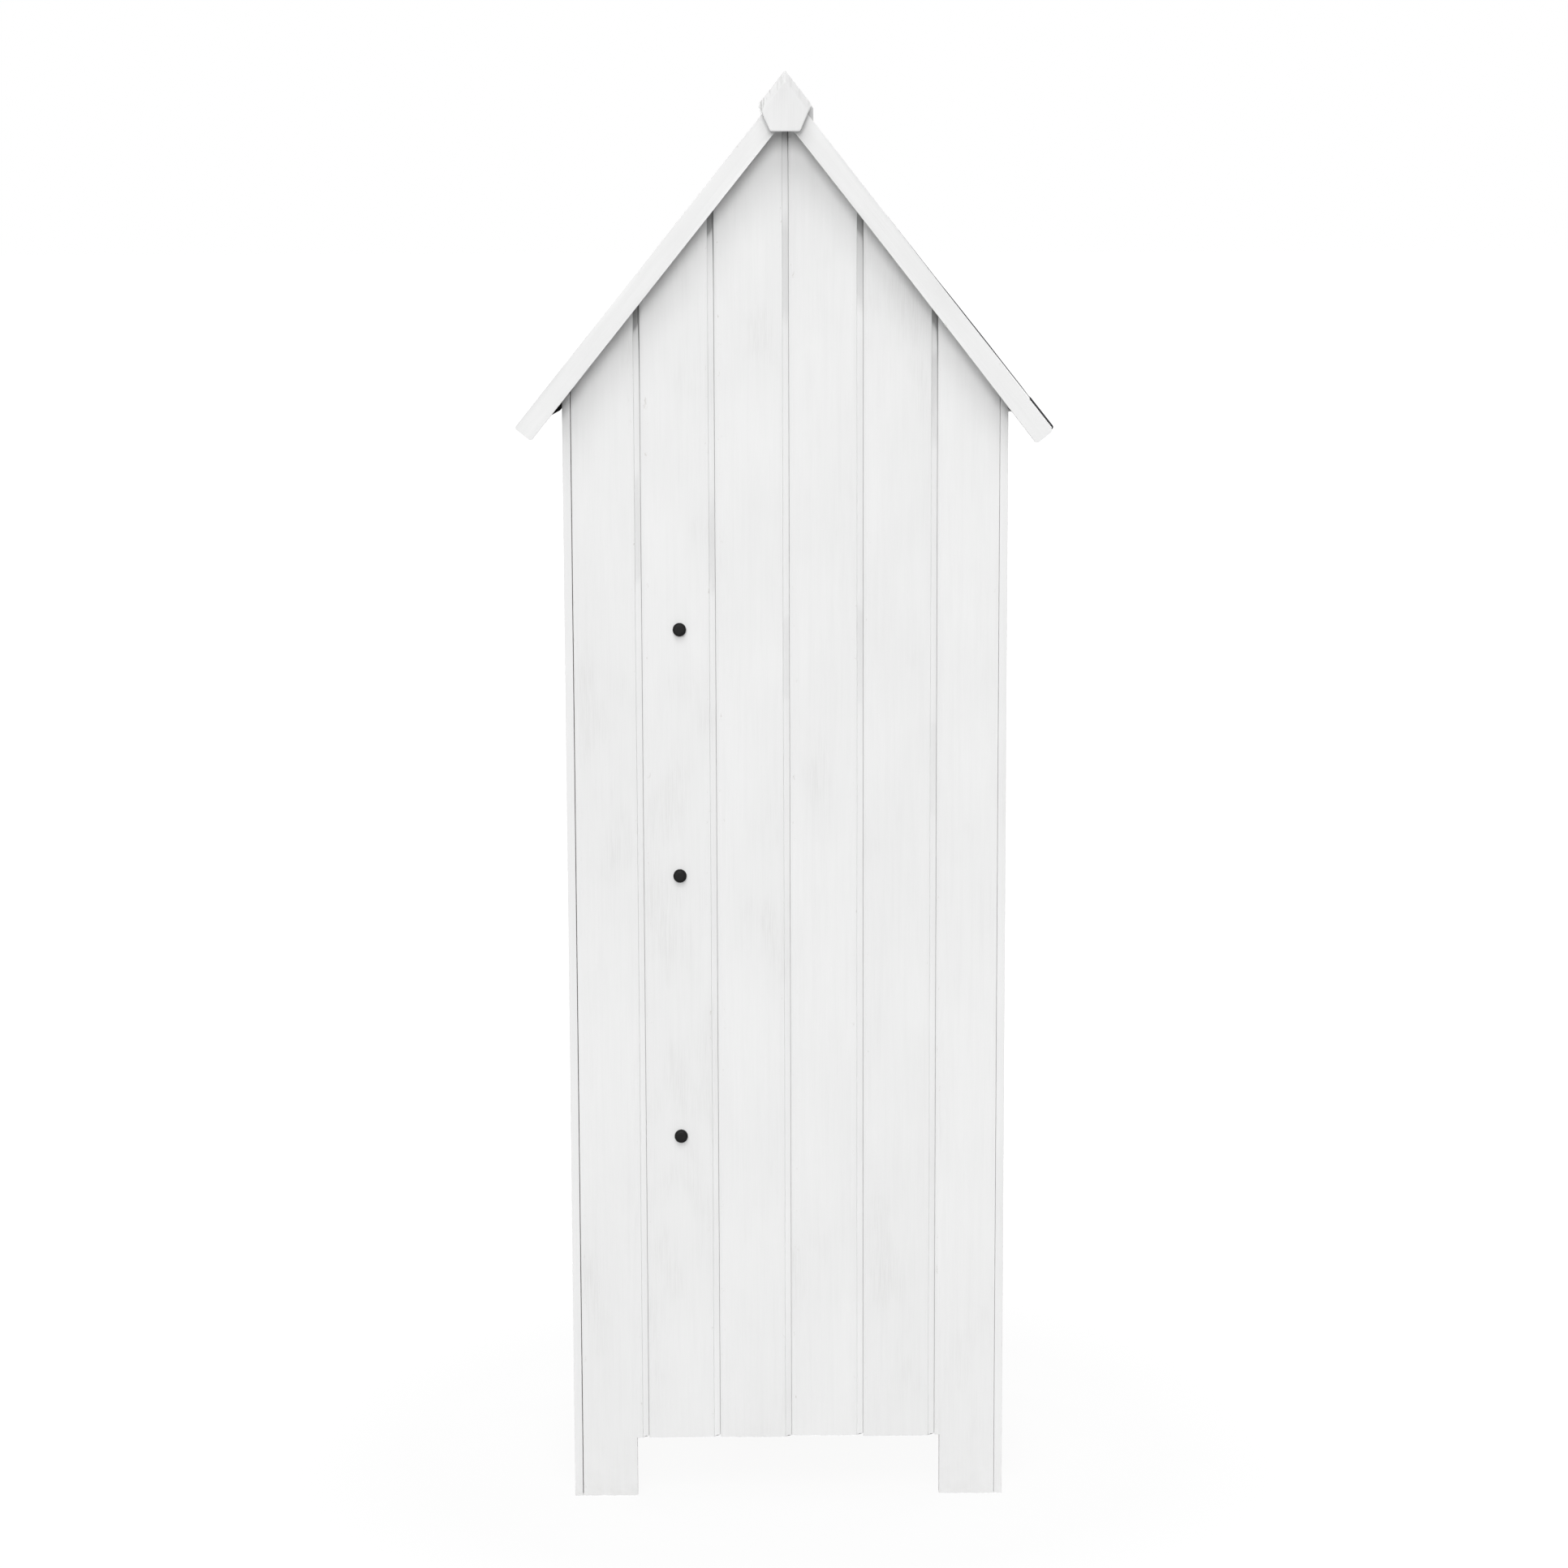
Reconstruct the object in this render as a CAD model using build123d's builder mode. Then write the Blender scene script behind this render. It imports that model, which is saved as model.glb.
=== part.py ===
from build123d import *
import os
from math import cos, radians, sin, tan

os.makedirs("parts", exist_ok=True)

# A narrow garden tool shed with a steep pitched roof, in millimetres.
# Z is up from the floor, the door faces -Y and the back wall +Y, and the origin is under the middle.

# Sizes of the whole shed
body_width = 548.0
body_depth = 440.0
eaves_height = 1424.0  # underside of the roof decks over the outer faces of the side walls
roof_pitch = 51.5  # degrees
leg_height = 78.0
leg_width = 80.5
side_leg_width = 69.5

# Tongue-and-groove board, used for every wall, the gable and the door
board_thickness = 10.0
board_cover = 91.4  # from one board's groove edge to the next one's
tongue_show = 8.0  # width of tongue that is left in sight
tongue_hidden = 4.0  # width of tongue inside the groove
tongue_thickness = 4.0
tongue_recess = 2.0  # from the board's face to the tongue's
tongue_clearance = 0.2
groove_spare = 0.5  # groove left empty beyond the tongue's edge
back_face_gap = 0.3  # between two boards on the inner side
edge_bevel_width = 4.0
edge_bevel_depth = 1.0
wall_board_count = 5  # in each side wall, the door and the gable
back_board_count = 6
back_first_rip = 6.4  # width taken off the first back board
back_last_rip = 15.6
side_rip = 17.5  # width taken off the end boards of a side wall
door_rip = 12.5
gable_rip = 9.5
wall_gap = 0.8  # between the back wall and the side walls

# Frame timbers
post_size = 20.0
stile_width = 55.0
stile_thickness = 18.0
header_height = 60.0
header_drop = 25.0  # from the eaves down to the header rail's top
bearer_height = 40.0
floor_thickness = 10.0
floor_board_count = 4
floor_board_gap = 1.0
batten_thickness = 15.0
batten_height = 45.0
stop_width = 10.0
seat_gap = 0.3  # round a notched post, under the roof decks and where one timber meets another end on

# Roof
deck_thickness = 9.0
felt_thickness = 1.5
eaves_strip_thickness = 1.5  # second layer of felt along the eaves
eaves_strip_width = 45.0
eaves_reach = 46.0  # level, from a side wall's face to the decks' lower end
felt_drip = 2.0
wedge_height = 33.2  # of the eaves wedge where it meets the side wall
wedge_toe = 6.0  # its height at the decks' lower end
roof_overhang = 30.0
ridge_beam_width = 20.0
ridge_beam_height = 45.0
rafter_width = 20.0
rafter_depth = 25.0
eaves_batten_height = 30.0
barge_width = 28.0
barge_thickness = 12.0
barge_corner = 4.0
back_left_sag = 2.4  # drop of the lower end of the back left bargeboard, square to the slope
ridge_cap_thickness = 8.25
right_cap_width = 26.0  # from the middle of the ridge
left_cap_width = 34.5

# Finial block
finial_rise = 12.25  # over the bargeboards' mitre
finial_height = 72.3
finial_half_width = 32.0
finial_half_foot = 18.0
finial_thickness = 20.0
finial_bevel = 8.0

# Door
door_gap = 3.0
ledge_thickness = 15.0
ledge_height = 45.0
ledge_setback = 16.0  # from the door's edge
ledge_inset = 120.0  # from the door's foot and head to the middle of a ledge
brace_foot = 58.0  # level length of a brace's cut end
stop_clearance = 0.5

# T-hinge
hinge_plate = 2.0
knuckle_radius = 4.0
hinge_pin_radius = 2.0
hinge_clearance = 0.08
knuckle_gap = 0.4
strap_length = 150.0
strap_width = 24.0
strap_tip_width = 12.0
leaf_width = 30.0
leaf_height = 64.0
pin_head_radius = 3.0
pin_head_height = 1.5

# Barrel bolt
bolt_radius = 4.0
bolt_length = 88.0
bolt_bevel = 1.0
bolt_setback = 2.0  # from the drawn bolt's tip to the door's edge
bolt_clearance = 0.3
bolt_lift = 0.5  # between the bolt and its plate
guide_length = 6.0
guide_wall = 3.0
guide_inset = 6.0  # from the end of the plate to the nearer guide
guide_span = 44.0  # from one guide's end to the other's
bolt_plate_length = 90.0
bolt_plate_height = 36.0
bolt_stub_radius = 3.0
bolt_stub_length = 12.0
bolt_ball_radius = 5.0
bolt_stub_gap = 1.0  # from the stub of the drawn bolt to the nearer guide
keep_length = 12.0
keep_gap = 5.0  # from the stile's edge
keep_plate_length = 30.0

# Screws
screw_radius = 1.5
screw_hole_clearance = 0.1
screw_length = 13.0
screw_head_radius = 3.2
screw_head_height = 1.6
screw_head_taper = 30  # degrees

# Knob
knob_radius = 15.0
knob_neck_radius = 8.0
knob_length = 28.0
knob_rim_height = 10.0
knob_inset = 31.0  # from the door's edge
knob_height_share = 0.62  # of the door's height, from its foot
knob_screw_depth = 12.0

# Tool hooks and what holds them
hook_inset = 44.2  # from the second back board's groove edge
hook_height_shares = (0.3339, 0.5692, 0.7869)  # of the height of the eaves
hook_drifts = (0.4, -0.5, -2.0)  # sideways, off the plumb line
hook_radius = 3.0
hook_reach = 45.0
hook_rise = 24.0
hook_bend = 8.0
hook_flange_radius = 9.0
hook_flange_thickness = 2.0
hook_hole_clearance = 0.2
nut_radius = 5.6
nut_thickness = 4.0
cap_radius = 8.3
cap_height = 7.0
cap_wall = 1.8
cap_bevel = 2.4

# Inner fittings
divider_thickness = 10.0
divider_drop = 146.0  # from the eaves down to the divider's top
divider_setback = 12.0  # behind the door frame
shelf_thickness = 12.0
shelf_setback = 10.0  # behind the divider's front edge
shelf_gap = 0.5
runner_thickness = 15.0
runner_height = 20.0

overrun = 50.0  # length by which every cutting shape passes what it cuts

# Places that follow from the sizes
half_width = body_width / 2
half_depth = body_depth / 2
inner_x = half_width - board_thickness
inner_y = half_depth - board_thickness
stile_back = -half_depth + stile_thickness
post_x = inner_x - post_size
front_post_back = stile_back + post_size
rear_post_front = inner_y - post_size
leg_inner_x = half_width - leg_width
leg_inner_y = half_depth - side_leg_width

slope_cos = cos(radians(roof_pitch))
slope_sin = sin(radians(roof_pitch))
slope_tan = tan(radians(roof_pitch))
apex_height = eaves_height + half_width * slope_tan
eaves_end = half_width + eaves_reach
slope_length = eaves_end / slope_cos  # of the decks and bargeboards, from the ridge
felt_top = deck_thickness + felt_thickness
barge_top = felt_top + eaves_strip_thickness
barge_low = barge_top - barge_width
deck_end = half_depth + roof_overhang
barge_end = deck_end + barge_thickness
finial_end = barge_end + finial_thickness
total_height = apex_height + barge_top / slope_cos + finial_rise

opening_half = half_width - stile_width
door_half = opening_half - door_gap
floor_low = leg_height + bearer_height
floor_top = floor_low + floor_thickness
door_low = floor_top + door_gap
header_top = eaves_height - header_drop
header_low = header_top - header_height
door_top = header_low - door_gap
batten_front = inner_y - batten_thickness
door_back = -half_depth + board_thickness
ledge_half = door_half - ledge_setback
ledge_back = door_back + ledge_thickness
ledge_middles = (door_low + ledge_inset, (door_low + door_top) / 2, door_top - ledge_inset)
hinge_middles = (ledge_middles[0], ledge_middles[-1])
divider_front = stile_back + divider_setback
divider_top = eaves_height - divider_drop
hook_heights = [share * eaves_height for share in hook_height_shares]
shelf_lows = [height + batten_height / 2 for height in hook_heights]
knob_x = door_half - knob_inset
knob_z = door_low + knob_height_share * (door_top - door_low)


def roof_under(x):
    """Height of the decks' underside at a distance from the middle."""
    return apex_height - abs(x) * slope_tan


def roof_point(down, above):
    """Point at a distance down the +X slope from the ridge and at a height square to the decks' underside."""
    return (down * slope_cos + above * slope_sin, apex_height - down * slope_sin + above * slope_cos)


def roof_layer(low, high, length):
    """Outline of a layer on the +X slope, mitred at the ridge and cut square at the eaves."""
    return [
        (0, apex_height + low / slope_cos),
        roof_point(length, low),
        roof_point(length, high),
        (0, apex_height + high / slope_cos),
    ]


def mirrored(points):
    """The same outline on the -X side."""
    return [(-x, z) for x, z in points]


def cross_slab(points, y_low, y_high, mode=Mode.ADD):
    """A slab with the given X and Z outline that runs from one Y to another."""
    with BuildSketch(Plane.XZ.offset(-y_high)) as section:
        Polygon(*points, align=None)
    extrude(section.sketch, amount=y_high - y_low, mode=mode)


def timber(x_span, y_span, z_span, mode=Mode.ADD):
    """A squared timber that fills three spans."""
    spans = (x_span, y_span, z_span)
    with Locations(tuple((low + high) / 2 for low, high in spans)):
        Box(*(high - low for low, high in spans), mode=mode)


def rods(places, radius, y_low, y_high, mode=Mode.ADD):
    """Round rods along Y at the given X and Z places, or holes of that shape."""
    with BuildSketch(Plane.XZ.offset(-y_high)) as section:
        with Locations(*places):
            Circle(radius)
    extrude(section.sketch, amount=y_high - y_low, mode=mode)


def save(part, label):
    part.label = label
    export_step(part, f"parts/{label}.step")


# Space over the roof decks' underside, which trims the walls and the frame
with BuildPart() as roof_space:
    space_low = eaves_height - overrun - seat_gap / slope_cos
    space_half = half_width + overrun / slope_tan
    peak = (0, apex_height - seat_gap / slope_cos)
    corners = [peak, (space_half, space_low), (space_half, apex_height + overrun)]
    far_corners = [(-space_half, apex_height + overrun), (-space_half, space_low)]
    cross_slab(corners + far_corners, -half_depth - overrun, half_depth + overrun)

# Space between the legs, under the back wall and under the side walls
with BuildPart() as back_leg_space:
    timber((-leg_inner_x, leg_inner_x), (0, half_depth + overrun), (-overrun, leg_height))
with BuildPart() as side_leg_space:
    side_reach = half_width + overrun
    timber((-side_reach, side_reach), (-leg_inner_y, leg_inner_y), (-overrun, leg_height))

# Places of the screws that hold the door's fittings
hinge_x = -opening_half + door_gap / 2
strap_screw_shares = (0.24, 0.56, 0.88)  # along the strap
strap_screws = [
    (hinge_x + share * strap_length, middle) for middle in hinge_middles for share in strap_screw_shares
]
leaf_screw_shares = ((-0.55, -0.34), (-0.8, 0), (-0.55, 0.34))  # across the leaf and up it
leaf_screws = [
    (hinge_x + across * leaf_width, middle + up * leaf_height)
    for middle in hinge_middles
    for across, up in leaf_screw_shares
]
bolt_z = ledge_middles[1]
bolt_tip = door_half - bolt_setback
plate_end = bolt_tip - bolt_setback
plate_start = plate_end - bolt_plate_length
plate_screw_share = 0.33  # of the plate's height, from its middle
plate_screw_edge = screw_head_radius + guide_wall
plate_screws = [
    (x, bolt_z + side * plate_screw_share * bolt_plate_height)
    for x in (plate_start + plate_screw_edge, plate_end - guide_inset - guide_length - plate_screw_edge)
    for side in (-1, 1)
]
keep_start = opening_half + keep_gap
keep_plate_end = keep_start + keep_plate_length
keep_screws = [
    (keep_plate_end - plate_screw_edge, bolt_z + side * plate_screw_share * bolt_plate_height)
    for side in (-1, 1)
]
door_screw_places = strap_screws + plate_screws
frame_screw_places = leaf_screws + keep_screws
screw_hole = screw_radius + screw_hole_clearance
screw_end = -half_depth - hinge_plate + screw_length


def board_outline(cover, first, last):
    """Section of one board: across it from its groove edge, and in from its face."""
    tongue_back = tongue_recess + tongue_thickness
    groove = tongue_hidden + groove_spare
    lip = tongue_recess - tongue_clearance
    if first:
        groove_side = [(0, board_thickness), (0, 0)]
    else:
        groove_side = [
            (0, board_thickness),
            (0, tongue_back + tongue_clearance),
            (groove, tongue_back + tongue_clearance),
            (groove, lip),
            (0, lip),
            (0, edge_bevel_depth),
            (edge_bevel_width, 0),
        ]
    if last:
        tongue_side = [(cover, 0), (cover, board_thickness)]
    else:
        tongue_side = [
            (cover - tongue_show, 0),
            (cover - tongue_show, tongue_recess),
            (cover + tongue_hidden, tongue_recess),
            (cover + tongue_hidden, tongue_back),
            (cover - back_face_gap, tongue_back),
            (cover - back_face_gap, board_thickness),
        ]
    return groove_side + tongue_side


def board_edges(length, count, first_rip, last_rip):
    """Joints in a row of boards, with both ends; the boards between the end ones share the rest."""
    first_edge = board_cover - first_rip
    last_edge = length - board_cover + last_rip
    pitch = (last_edge - first_edge) / (count - 2)
    return [0] + [first_edge + number * pitch for number in range(count - 1)] + [length]


def board_row(row_start, across, edges, z_low, z_high, cuts):
    """Boards side by side from row_start; their faces lie on the right of the way across, seen from above."""
    boards = []
    for place, next_place in zip(edges, edges[1:]):
        start = Vector(*row_start) + Vector(*across) * place + Vector(0, 0, z_low)
        with BuildPart() as board:
            with BuildSketch(Plane(origin=start, x_dir=across, z_dir=(0, 0, 1))):
                section = board_outline(next_place - place, place == edges[0], next_place == edges[-1])
                Polygon(*section, align=None)
            extrude(amount=z_high - z_low)
            for cut in cuts:
                add(cut.part, mode=Mode.SUBTRACT)
        boards.append(board.part)
    return boards


# Back wall: boards between the side walls, the outermost two with a leg each
back_row_half = inner_x - wall_gap
back_edges = board_edges(2 * back_row_half, back_board_count, back_first_rip, back_last_rip)
hook_x = back_row_half - back_edges[1] - hook_inset
hook_places = [(hook_x + drift, height) for drift, height in zip(hook_drifts, hook_heights)]
hook_hole = hook_radius + hook_hole_clearance
with BuildPart() as hook_hole_space:
    rods(hook_places, hook_hole, batten_front - overrun, half_depth + overrun)
back_cuts = (back_leg_space, roof_space, hook_hole_space)
back_boards = board_row((back_row_half, half_depth), (-1, 0, 0), back_edges, 0, apex_height, back_cuts)
for number, board in enumerate(back_boards, 1):
    save(board, f"back_board_{number}")

# Side walls: they cover the back wall's edges and stop behind the front stiles
side_edges = board_edges(half_depth - stile_back, wall_board_count, side_rip, side_rip)
side_cuts = (side_leg_space, roof_space)
side_top = roof_under(inner_x)
right_boards = board_row((half_width, stile_back), (0, 1, 0), side_edges, 0, side_top, side_cuts)
left_boards = board_row((-half_width, half_depth), (0, -1, 0), side_edges, 0, side_top, side_cuts)
for number, board in enumerate(right_boards, 1):
    save(board, f"right_side_board_{number}")
for number, board in enumerate(left_boards, 1):
    save(board, f"left_side_board_{number}")

# Front stiles: they stand on the floor as the front legs and carry the hinges and the keep
for name, side in (("left", -1), ("right", 1)):
    with BuildPart() as stile:
        timber(
            sorted((side * opening_half, side * half_width)),
            (-half_depth, stile_back),
            (0, roof_under(opening_half)),
        )
        add(roof_space.part, mode=Mode.SUBTRACT)
        rods(frame_screw_places, screw_hole, -half_depth - overrun, screw_end, mode=Mode.SUBTRACT)
    save(stile.part, f"{name}_stile")

# Header rail over the door and sill under it, between the stiles
with BuildPart() as header:
    timber((-opening_half, opening_half), (-half_depth, stile_back), (header_low, header_top))
save(header.part, "header_rail")
with BuildPart() as sill:
    timber((-opening_half, opening_half), (-half_depth, stile_back), (leg_height, floor_top))
save(sill.part, "sill")

# Gable boards: they stand on the header with their backs level with the stiles' backs
gable_start = (-opening_half, stile_back - board_thickness)
gable_edges = board_edges(2 * opening_half, wall_board_count, gable_rip, gable_rip)
gable_boards = board_row(gable_start, (1, 0, 0), gable_edges, header_top, apex_height, (roof_space,))
save(Compound(children=gable_boards), "gable_boards")

# Corner posts: inside the four corners, from the floor up to the eaves battens
post_spans = [
    (sorted((side * post_x, side * inner_x)), y_span)
    for side in (-1, 1)
    for y_span in ((stile_back, front_post_back), (rear_post_front, inner_y))
]
eaves_batten_low = roof_under(inner_x) - eaves_batten_height
with BuildPart() as posts:
    for x_span, y_span in post_spans:
        timber(x_span, y_span, (0, eaves_batten_low))
save(posts.part, "corner_posts")


def clear_posts():
    """Notches the piece at hand round the corner posts."""
    for x_span, y_span in post_spans:
        timber(
            (x_span[0] - seat_gap, x_span[1] + seat_gap),
            (y_span[0] - seat_gap, y_span[1] + seat_gap),
            (0, eaves_batten_low),
            mode=Mode.SUBTRACT,
        )


# Floor: boards from side to side on two bearers along the side walls
with BuildPart() as bearers:
    for side in (-1, 1):
        x_span = sorted((side * post_x, side * inner_x))
        timber(x_span, (front_post_back, rear_post_front), (leg_height, floor_low))
save(bearers.part, "floor_bearers")
floor_depth = inner_y - stile_back
floor_board_width = (floor_depth - (floor_board_count - 1) * floor_board_gap) / floor_board_count
with BuildPart() as floor:
    for number in range(floor_board_count):
        board_front = stile_back + number * (floor_board_width + floor_board_gap)
        timber((-inner_x, inner_x), (board_front, board_front + floor_board_width), (floor_low, floor_top))
    clear_posts()
save(floor.part, "floor_boards")

# Battens on the back wall, which carry the hooks and the shelves' rear edges, and the shelves' runners
runner_inner = inner_x - runner_thickness
half_divider = divider_thickness / 2
with BuildPart() as battens:
    for height, shelf_low in zip(hook_heights, shelf_lows):
        timber((-post_x, post_x), (batten_front, inner_y), (height - batten_height / 2, shelf_low))
        runner_span = (shelf_low - runner_height, shelf_low)
        timber((-inner_x, -runner_inner), (front_post_back, rear_post_front), runner_span)
        divider_runner = (-half_divider - runner_thickness, -half_divider)
        timber(divider_runner, (divider_front, batten_front - seat_gap), runner_span)
    add(hook_hole_space.part, mode=Mode.SUBTRACT)
save(battens.part, "inner_battens")

# Divider between the shelves and the bay for long tools
with BuildPart() as divider:
    timber((-half_divider, half_divider), (divider_front, batten_front), (floor_top, divider_top))
save(divider.part, "divider")

# Shelves: they rest on the runners and on the back wall's battens
with BuildPart() as shelves:
    for shelf_low in shelf_lows:
        timber(
            (-inner_x + shelf_gap, -half_divider - shelf_gap),
            (divider_front + shelf_setback, inner_y - shelf_gap),
            (shelf_low, shelf_low + shelf_thickness),
        )
    clear_posts()
save(shelves.part, "shelves")

# Tool hooks: a bent rod with a flange against the batten and a threaded end through the back wall
hook_end = half_depth + nut_thickness
with BuildPart() as hooks:
    for hook_place, height in hook_places:
        with BuildLine(Plane.YZ.offset(hook_place)):
            tip_y = batten_front - hook_reach
            FilletPolyline(
                (hook_end, height),
                (tip_y, height),
                (tip_y, height + hook_rise),
                radius=hook_bend,
            )
        with BuildSketch(Plane(origin=(hook_place, hook_end, height), x_dir=(1, 0, 0), z_dir=(0, -1, 0))):
            Circle(hook_radius)
        sweep()
        flange_front = batten_front - hook_flange_thickness
        rods([(hook_place, height)], hook_flange_radius, flange_front, batten_front)
save(hooks.part, "tool_hooks")

# Nuts on the hooks' ends, outside the back wall
with BuildPart() as nuts:
    with BuildSketch(Plane.XZ.offset(-hook_end)):
        with Locations(*hook_places):
            RegularPolygon(nut_radius, 6)
            Circle(hook_hole, mode=Mode.SUBTRACT)
    extrude(amount=nut_thickness)
save(nuts.part, "hook_nuts")

# Black plastic caps over the nuts
with BuildPart() as caps:
    rods(hook_places, cap_radius, half_depth, half_depth + cap_height)
    outer_rims = caps.faces().filter_by(GeomType.PLANE).group_by(Axis.Y)[-1].edges()
    chamfer(outer_rims, length=cap_bevel)
    cap_inside = half_depth + cap_height - cap_wall
    rods(hook_places, cap_radius - cap_wall, half_depth, cap_inside, mode=Mode.SUBTRACT)
save(caps.part, "hook_caps")

# Roof decks and felt sheets: one of each on both slopes; the felt lies double along the eaves
decks = []
for place in (list, mirrored):
    with BuildPart() as deck:
        cross_slab(place(roof_layer(0, deck_thickness, slope_length)), -deck_end, deck_end)
    decks.append(deck.part)
save(Compound(children=decks), "roof_decks")
felt_length = slope_length + felt_drip
felt_outline = roof_layer(deck_thickness, felt_top, felt_length)
strip_outline = [
    roof_point(felt_length - eaves_strip_width, barge_top),
    roof_point(felt_length - eaves_strip_width, felt_top),
]
felt_outline[2:3] = [roof_point(felt_length, barge_top)] + strip_outline
felt_sheets = []
for place in (list, mirrored):
    with BuildPart() as felt:
        cross_slab(place(felt_outline), -deck_end, deck_end)
    felt_sheets.append(felt.part)
save(Compound(children=felt_sheets), "roofing_felt")

# Eaves wedges: tarred strips in the corners between the side walls and the decks
wedge_outline = [
    (half_width, eaves_height),
    (half_width, eaves_height - wedge_height),
    (eaves_end, roof_under(eaves_end) - wedge_toe),
    (eaves_end, roof_under(eaves_end)),
]
wedges = []
for place in (list, mirrored):
    with BuildPart() as wedge:
        cross_slab(place(wedge_outline), -deck_end, deck_end)
    wedges.append(wedge.part)
save(Compound(children=wedges), "eaves_wedges")

# Ridge cap: two painted boards over the meeting of the felt sheets, between the bargeboards
cap_top = felt_top + ridge_cap_thickness
ridge_caps = []
for place, width in ((list, right_cap_width), (mirrored, left_cap_width)):
    cap_outline = [
        (0, roof_under(0) + felt_top / slope_cos),
        (width, roof_under(width) + felt_top / slope_cos),
        (width, roof_under(width) + cap_top / slope_cos),
        (0, roof_under(0) + cap_top / slope_cos),
    ]
    with BuildPart() as cap_board:
        cross_slab(place(cap_outline), -deck_end, deck_end)
    ridge_caps.append(cap_board.part)
save(Compound(children=ridge_caps), "ridge_cap")

# Ridge beam, rafters behind the gable boards and the back wall, and battens along the eaves
ridge_beam_half = ridge_beam_width / 2
with BuildPart() as ridge_beam:
    beam_heights = (apex_height - ridge_beam_height, apex_height)
    timber((-ridge_beam_half, ridge_beam_half), (stile_back, inner_y), beam_heights)
    add(roof_space.part, mode=Mode.SUBTRACT)
save(ridge_beam.part, "ridge_beam")
rafter_drop = rafter_depth / slope_cos
rafter_outline = [
    (ridge_beam_half, roof_under(ridge_beam_half)),
    (post_x, roof_under(post_x)),
    (post_x, roof_under(post_x) - rafter_drop),
    (ridge_beam_half, roof_under(ridge_beam_half) - rafter_drop),
]
with BuildPart() as rafters:
    for place in (list, mirrored):
        cross_slab(place(rafter_outline), stile_back, stile_back + rafter_width)
        cross_slab(place(rafter_outline), inner_y - rafter_width, inner_y)
save(rafters.part, "rafters")
with BuildPart() as eaves_battens:
    for side in (-1, 1):
        x_span = sorted((side * post_x, side * inner_x))
        timber(x_span, (stile_back, inner_y), (eaves_batten_low, roof_under(post_x)))
    add(roof_space.part, mode=Mode.SUBTRACT)
save(eaves_battens.part, "eaves_battens")

# Bargeboards: one on each slope at both ends of the roof, mitred at the ridge, with rounded lower ends
for end_name, y_span in (("back", (deck_end, barge_end)), ("front", (-barge_end, -deck_end))):
    for name, place in (("right", list), ("left", mirrored)):
        sag = back_left_sag if (end_name, name) == ("back", "left") else 0
        barge_outline = [
            (0, apex_height + barge_low / slope_cos),
            roof_point(slope_length, barge_low - sag),
            roof_point(slope_length, barge_top - sag),
            (0, apex_height + barge_top / slope_cos),
        ]
        with BuildPart() as barge:
            cross_slab(place(barge_outline), *y_span)
            end_edges = barge.edges().filter_by(Axis.Y).sort_by(Axis.X)
            lower_end = end_edges[-2:] if name == "right" else end_edges[:2]
            fillet(lower_end, radius=barge_corner)
        save(barge.part, f"{end_name}_{name}_bargeboard")

# Finials: a block over each mitre, with its two upper outer edges bevelled
finial_shoulder = total_height - finial_half_width * slope_tan
finial_outline = [
    (0, total_height),
    (finial_half_width, finial_shoulder),
    (finial_half_foot, total_height - finial_height),
    (-finial_half_foot, total_height - finial_height),
    (-finial_half_width, finial_shoulder),
]
finial_spans = {"back": (barge_end, finial_end), "front": (-finial_end, -barge_end)}
for end_name, y_span in finial_spans.items():
    outer = -1 if end_name == "back" else 0
    with BuildPart() as finial:
        cross_slab(finial_outline, *y_span)
        face_edges = finial.faces().sort_by(Axis.Y)[outer].edges()
        chamfer(face_edges.sort_by(Axis.Z)[-2:], length=finial_bevel)
    save(finial.part, f"{end_name}_finial")

# Door: boards, with three ledges and two braces behind them
with BuildPart() as door_screw_space:
    rods(door_screw_places, screw_hole, -half_depth - overrun, screw_end)
    rods([(knob_x, knob_z)], screw_hole, -half_depth, door_back)
door_start = (-door_half, -half_depth)
door_edges = board_edges(2 * door_half, wall_board_count, door_rip, door_rip)
door_boards = board_row(door_start, (1, 0, 0), door_edges, door_low, door_top, (door_screw_space,))
for number, board in enumerate(door_boards, 1):
    save(board, f"door_board_{number}")
with BuildPart() as ledges:
    for middle in ledge_middles:
        timber(
            (-ledge_half, ledge_half),
            (door_back, ledge_back),
            (middle - ledge_height / 2, middle + ledge_height / 2),
        )
    add(door_screw_space.part, mode=Mode.SUBTRACT)
save(ledges.part, "door_ledges")
with BuildPart() as braces:
    for lower, upper in zip(ledge_middles, ledge_middles[1:]):
        brace_low = lower + ledge_height / 2
        brace_high = upper - ledge_height / 2
        brace_outline = [
            (-ledge_half, brace_low),
            (-ledge_half + brace_foot, brace_low),
            (ledge_half, brace_high),
            (ledge_half - brace_foot, brace_high),
        ]
        cross_slab(brace_outline, door_back, ledge_back)
save(braces.part, "door_braces")

# Door stops on the stiles' edges and under the header, behind the door's boards
stop_front = door_back + stop_clearance
with BuildPart() as stops:
    for side in (-1, 1):
        x_span = sorted((side * opening_half, side * (opening_half - stop_width)))
        timber(x_span, (stop_front, stile_back), (floor_top, header_low))
    head_half = opening_half - stop_width - seat_gap
    timber((-head_half, head_half), (stop_front, stile_back), (header_low - stop_width, header_low))
save(stops.part, "door_stops")

# T-hinges: leaf on the stile, strap on the door, and a pin in front of the gap between them
hinge_y = -half_depth - knuckle_radius
hinge_bore = hinge_pin_radius + hinge_clearance
strap_knuckle_half = strap_width / 2
leaf_half = leaf_height / 2
knuckle_spans = {
    "leaf": ((-leaf_half, -strap_knuckle_half - knuckle_gap), (strap_knuckle_half + knuckle_gap, leaf_half)),
    "strap": ((-strap_knuckle_half, strap_knuckle_half),),
}


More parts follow.
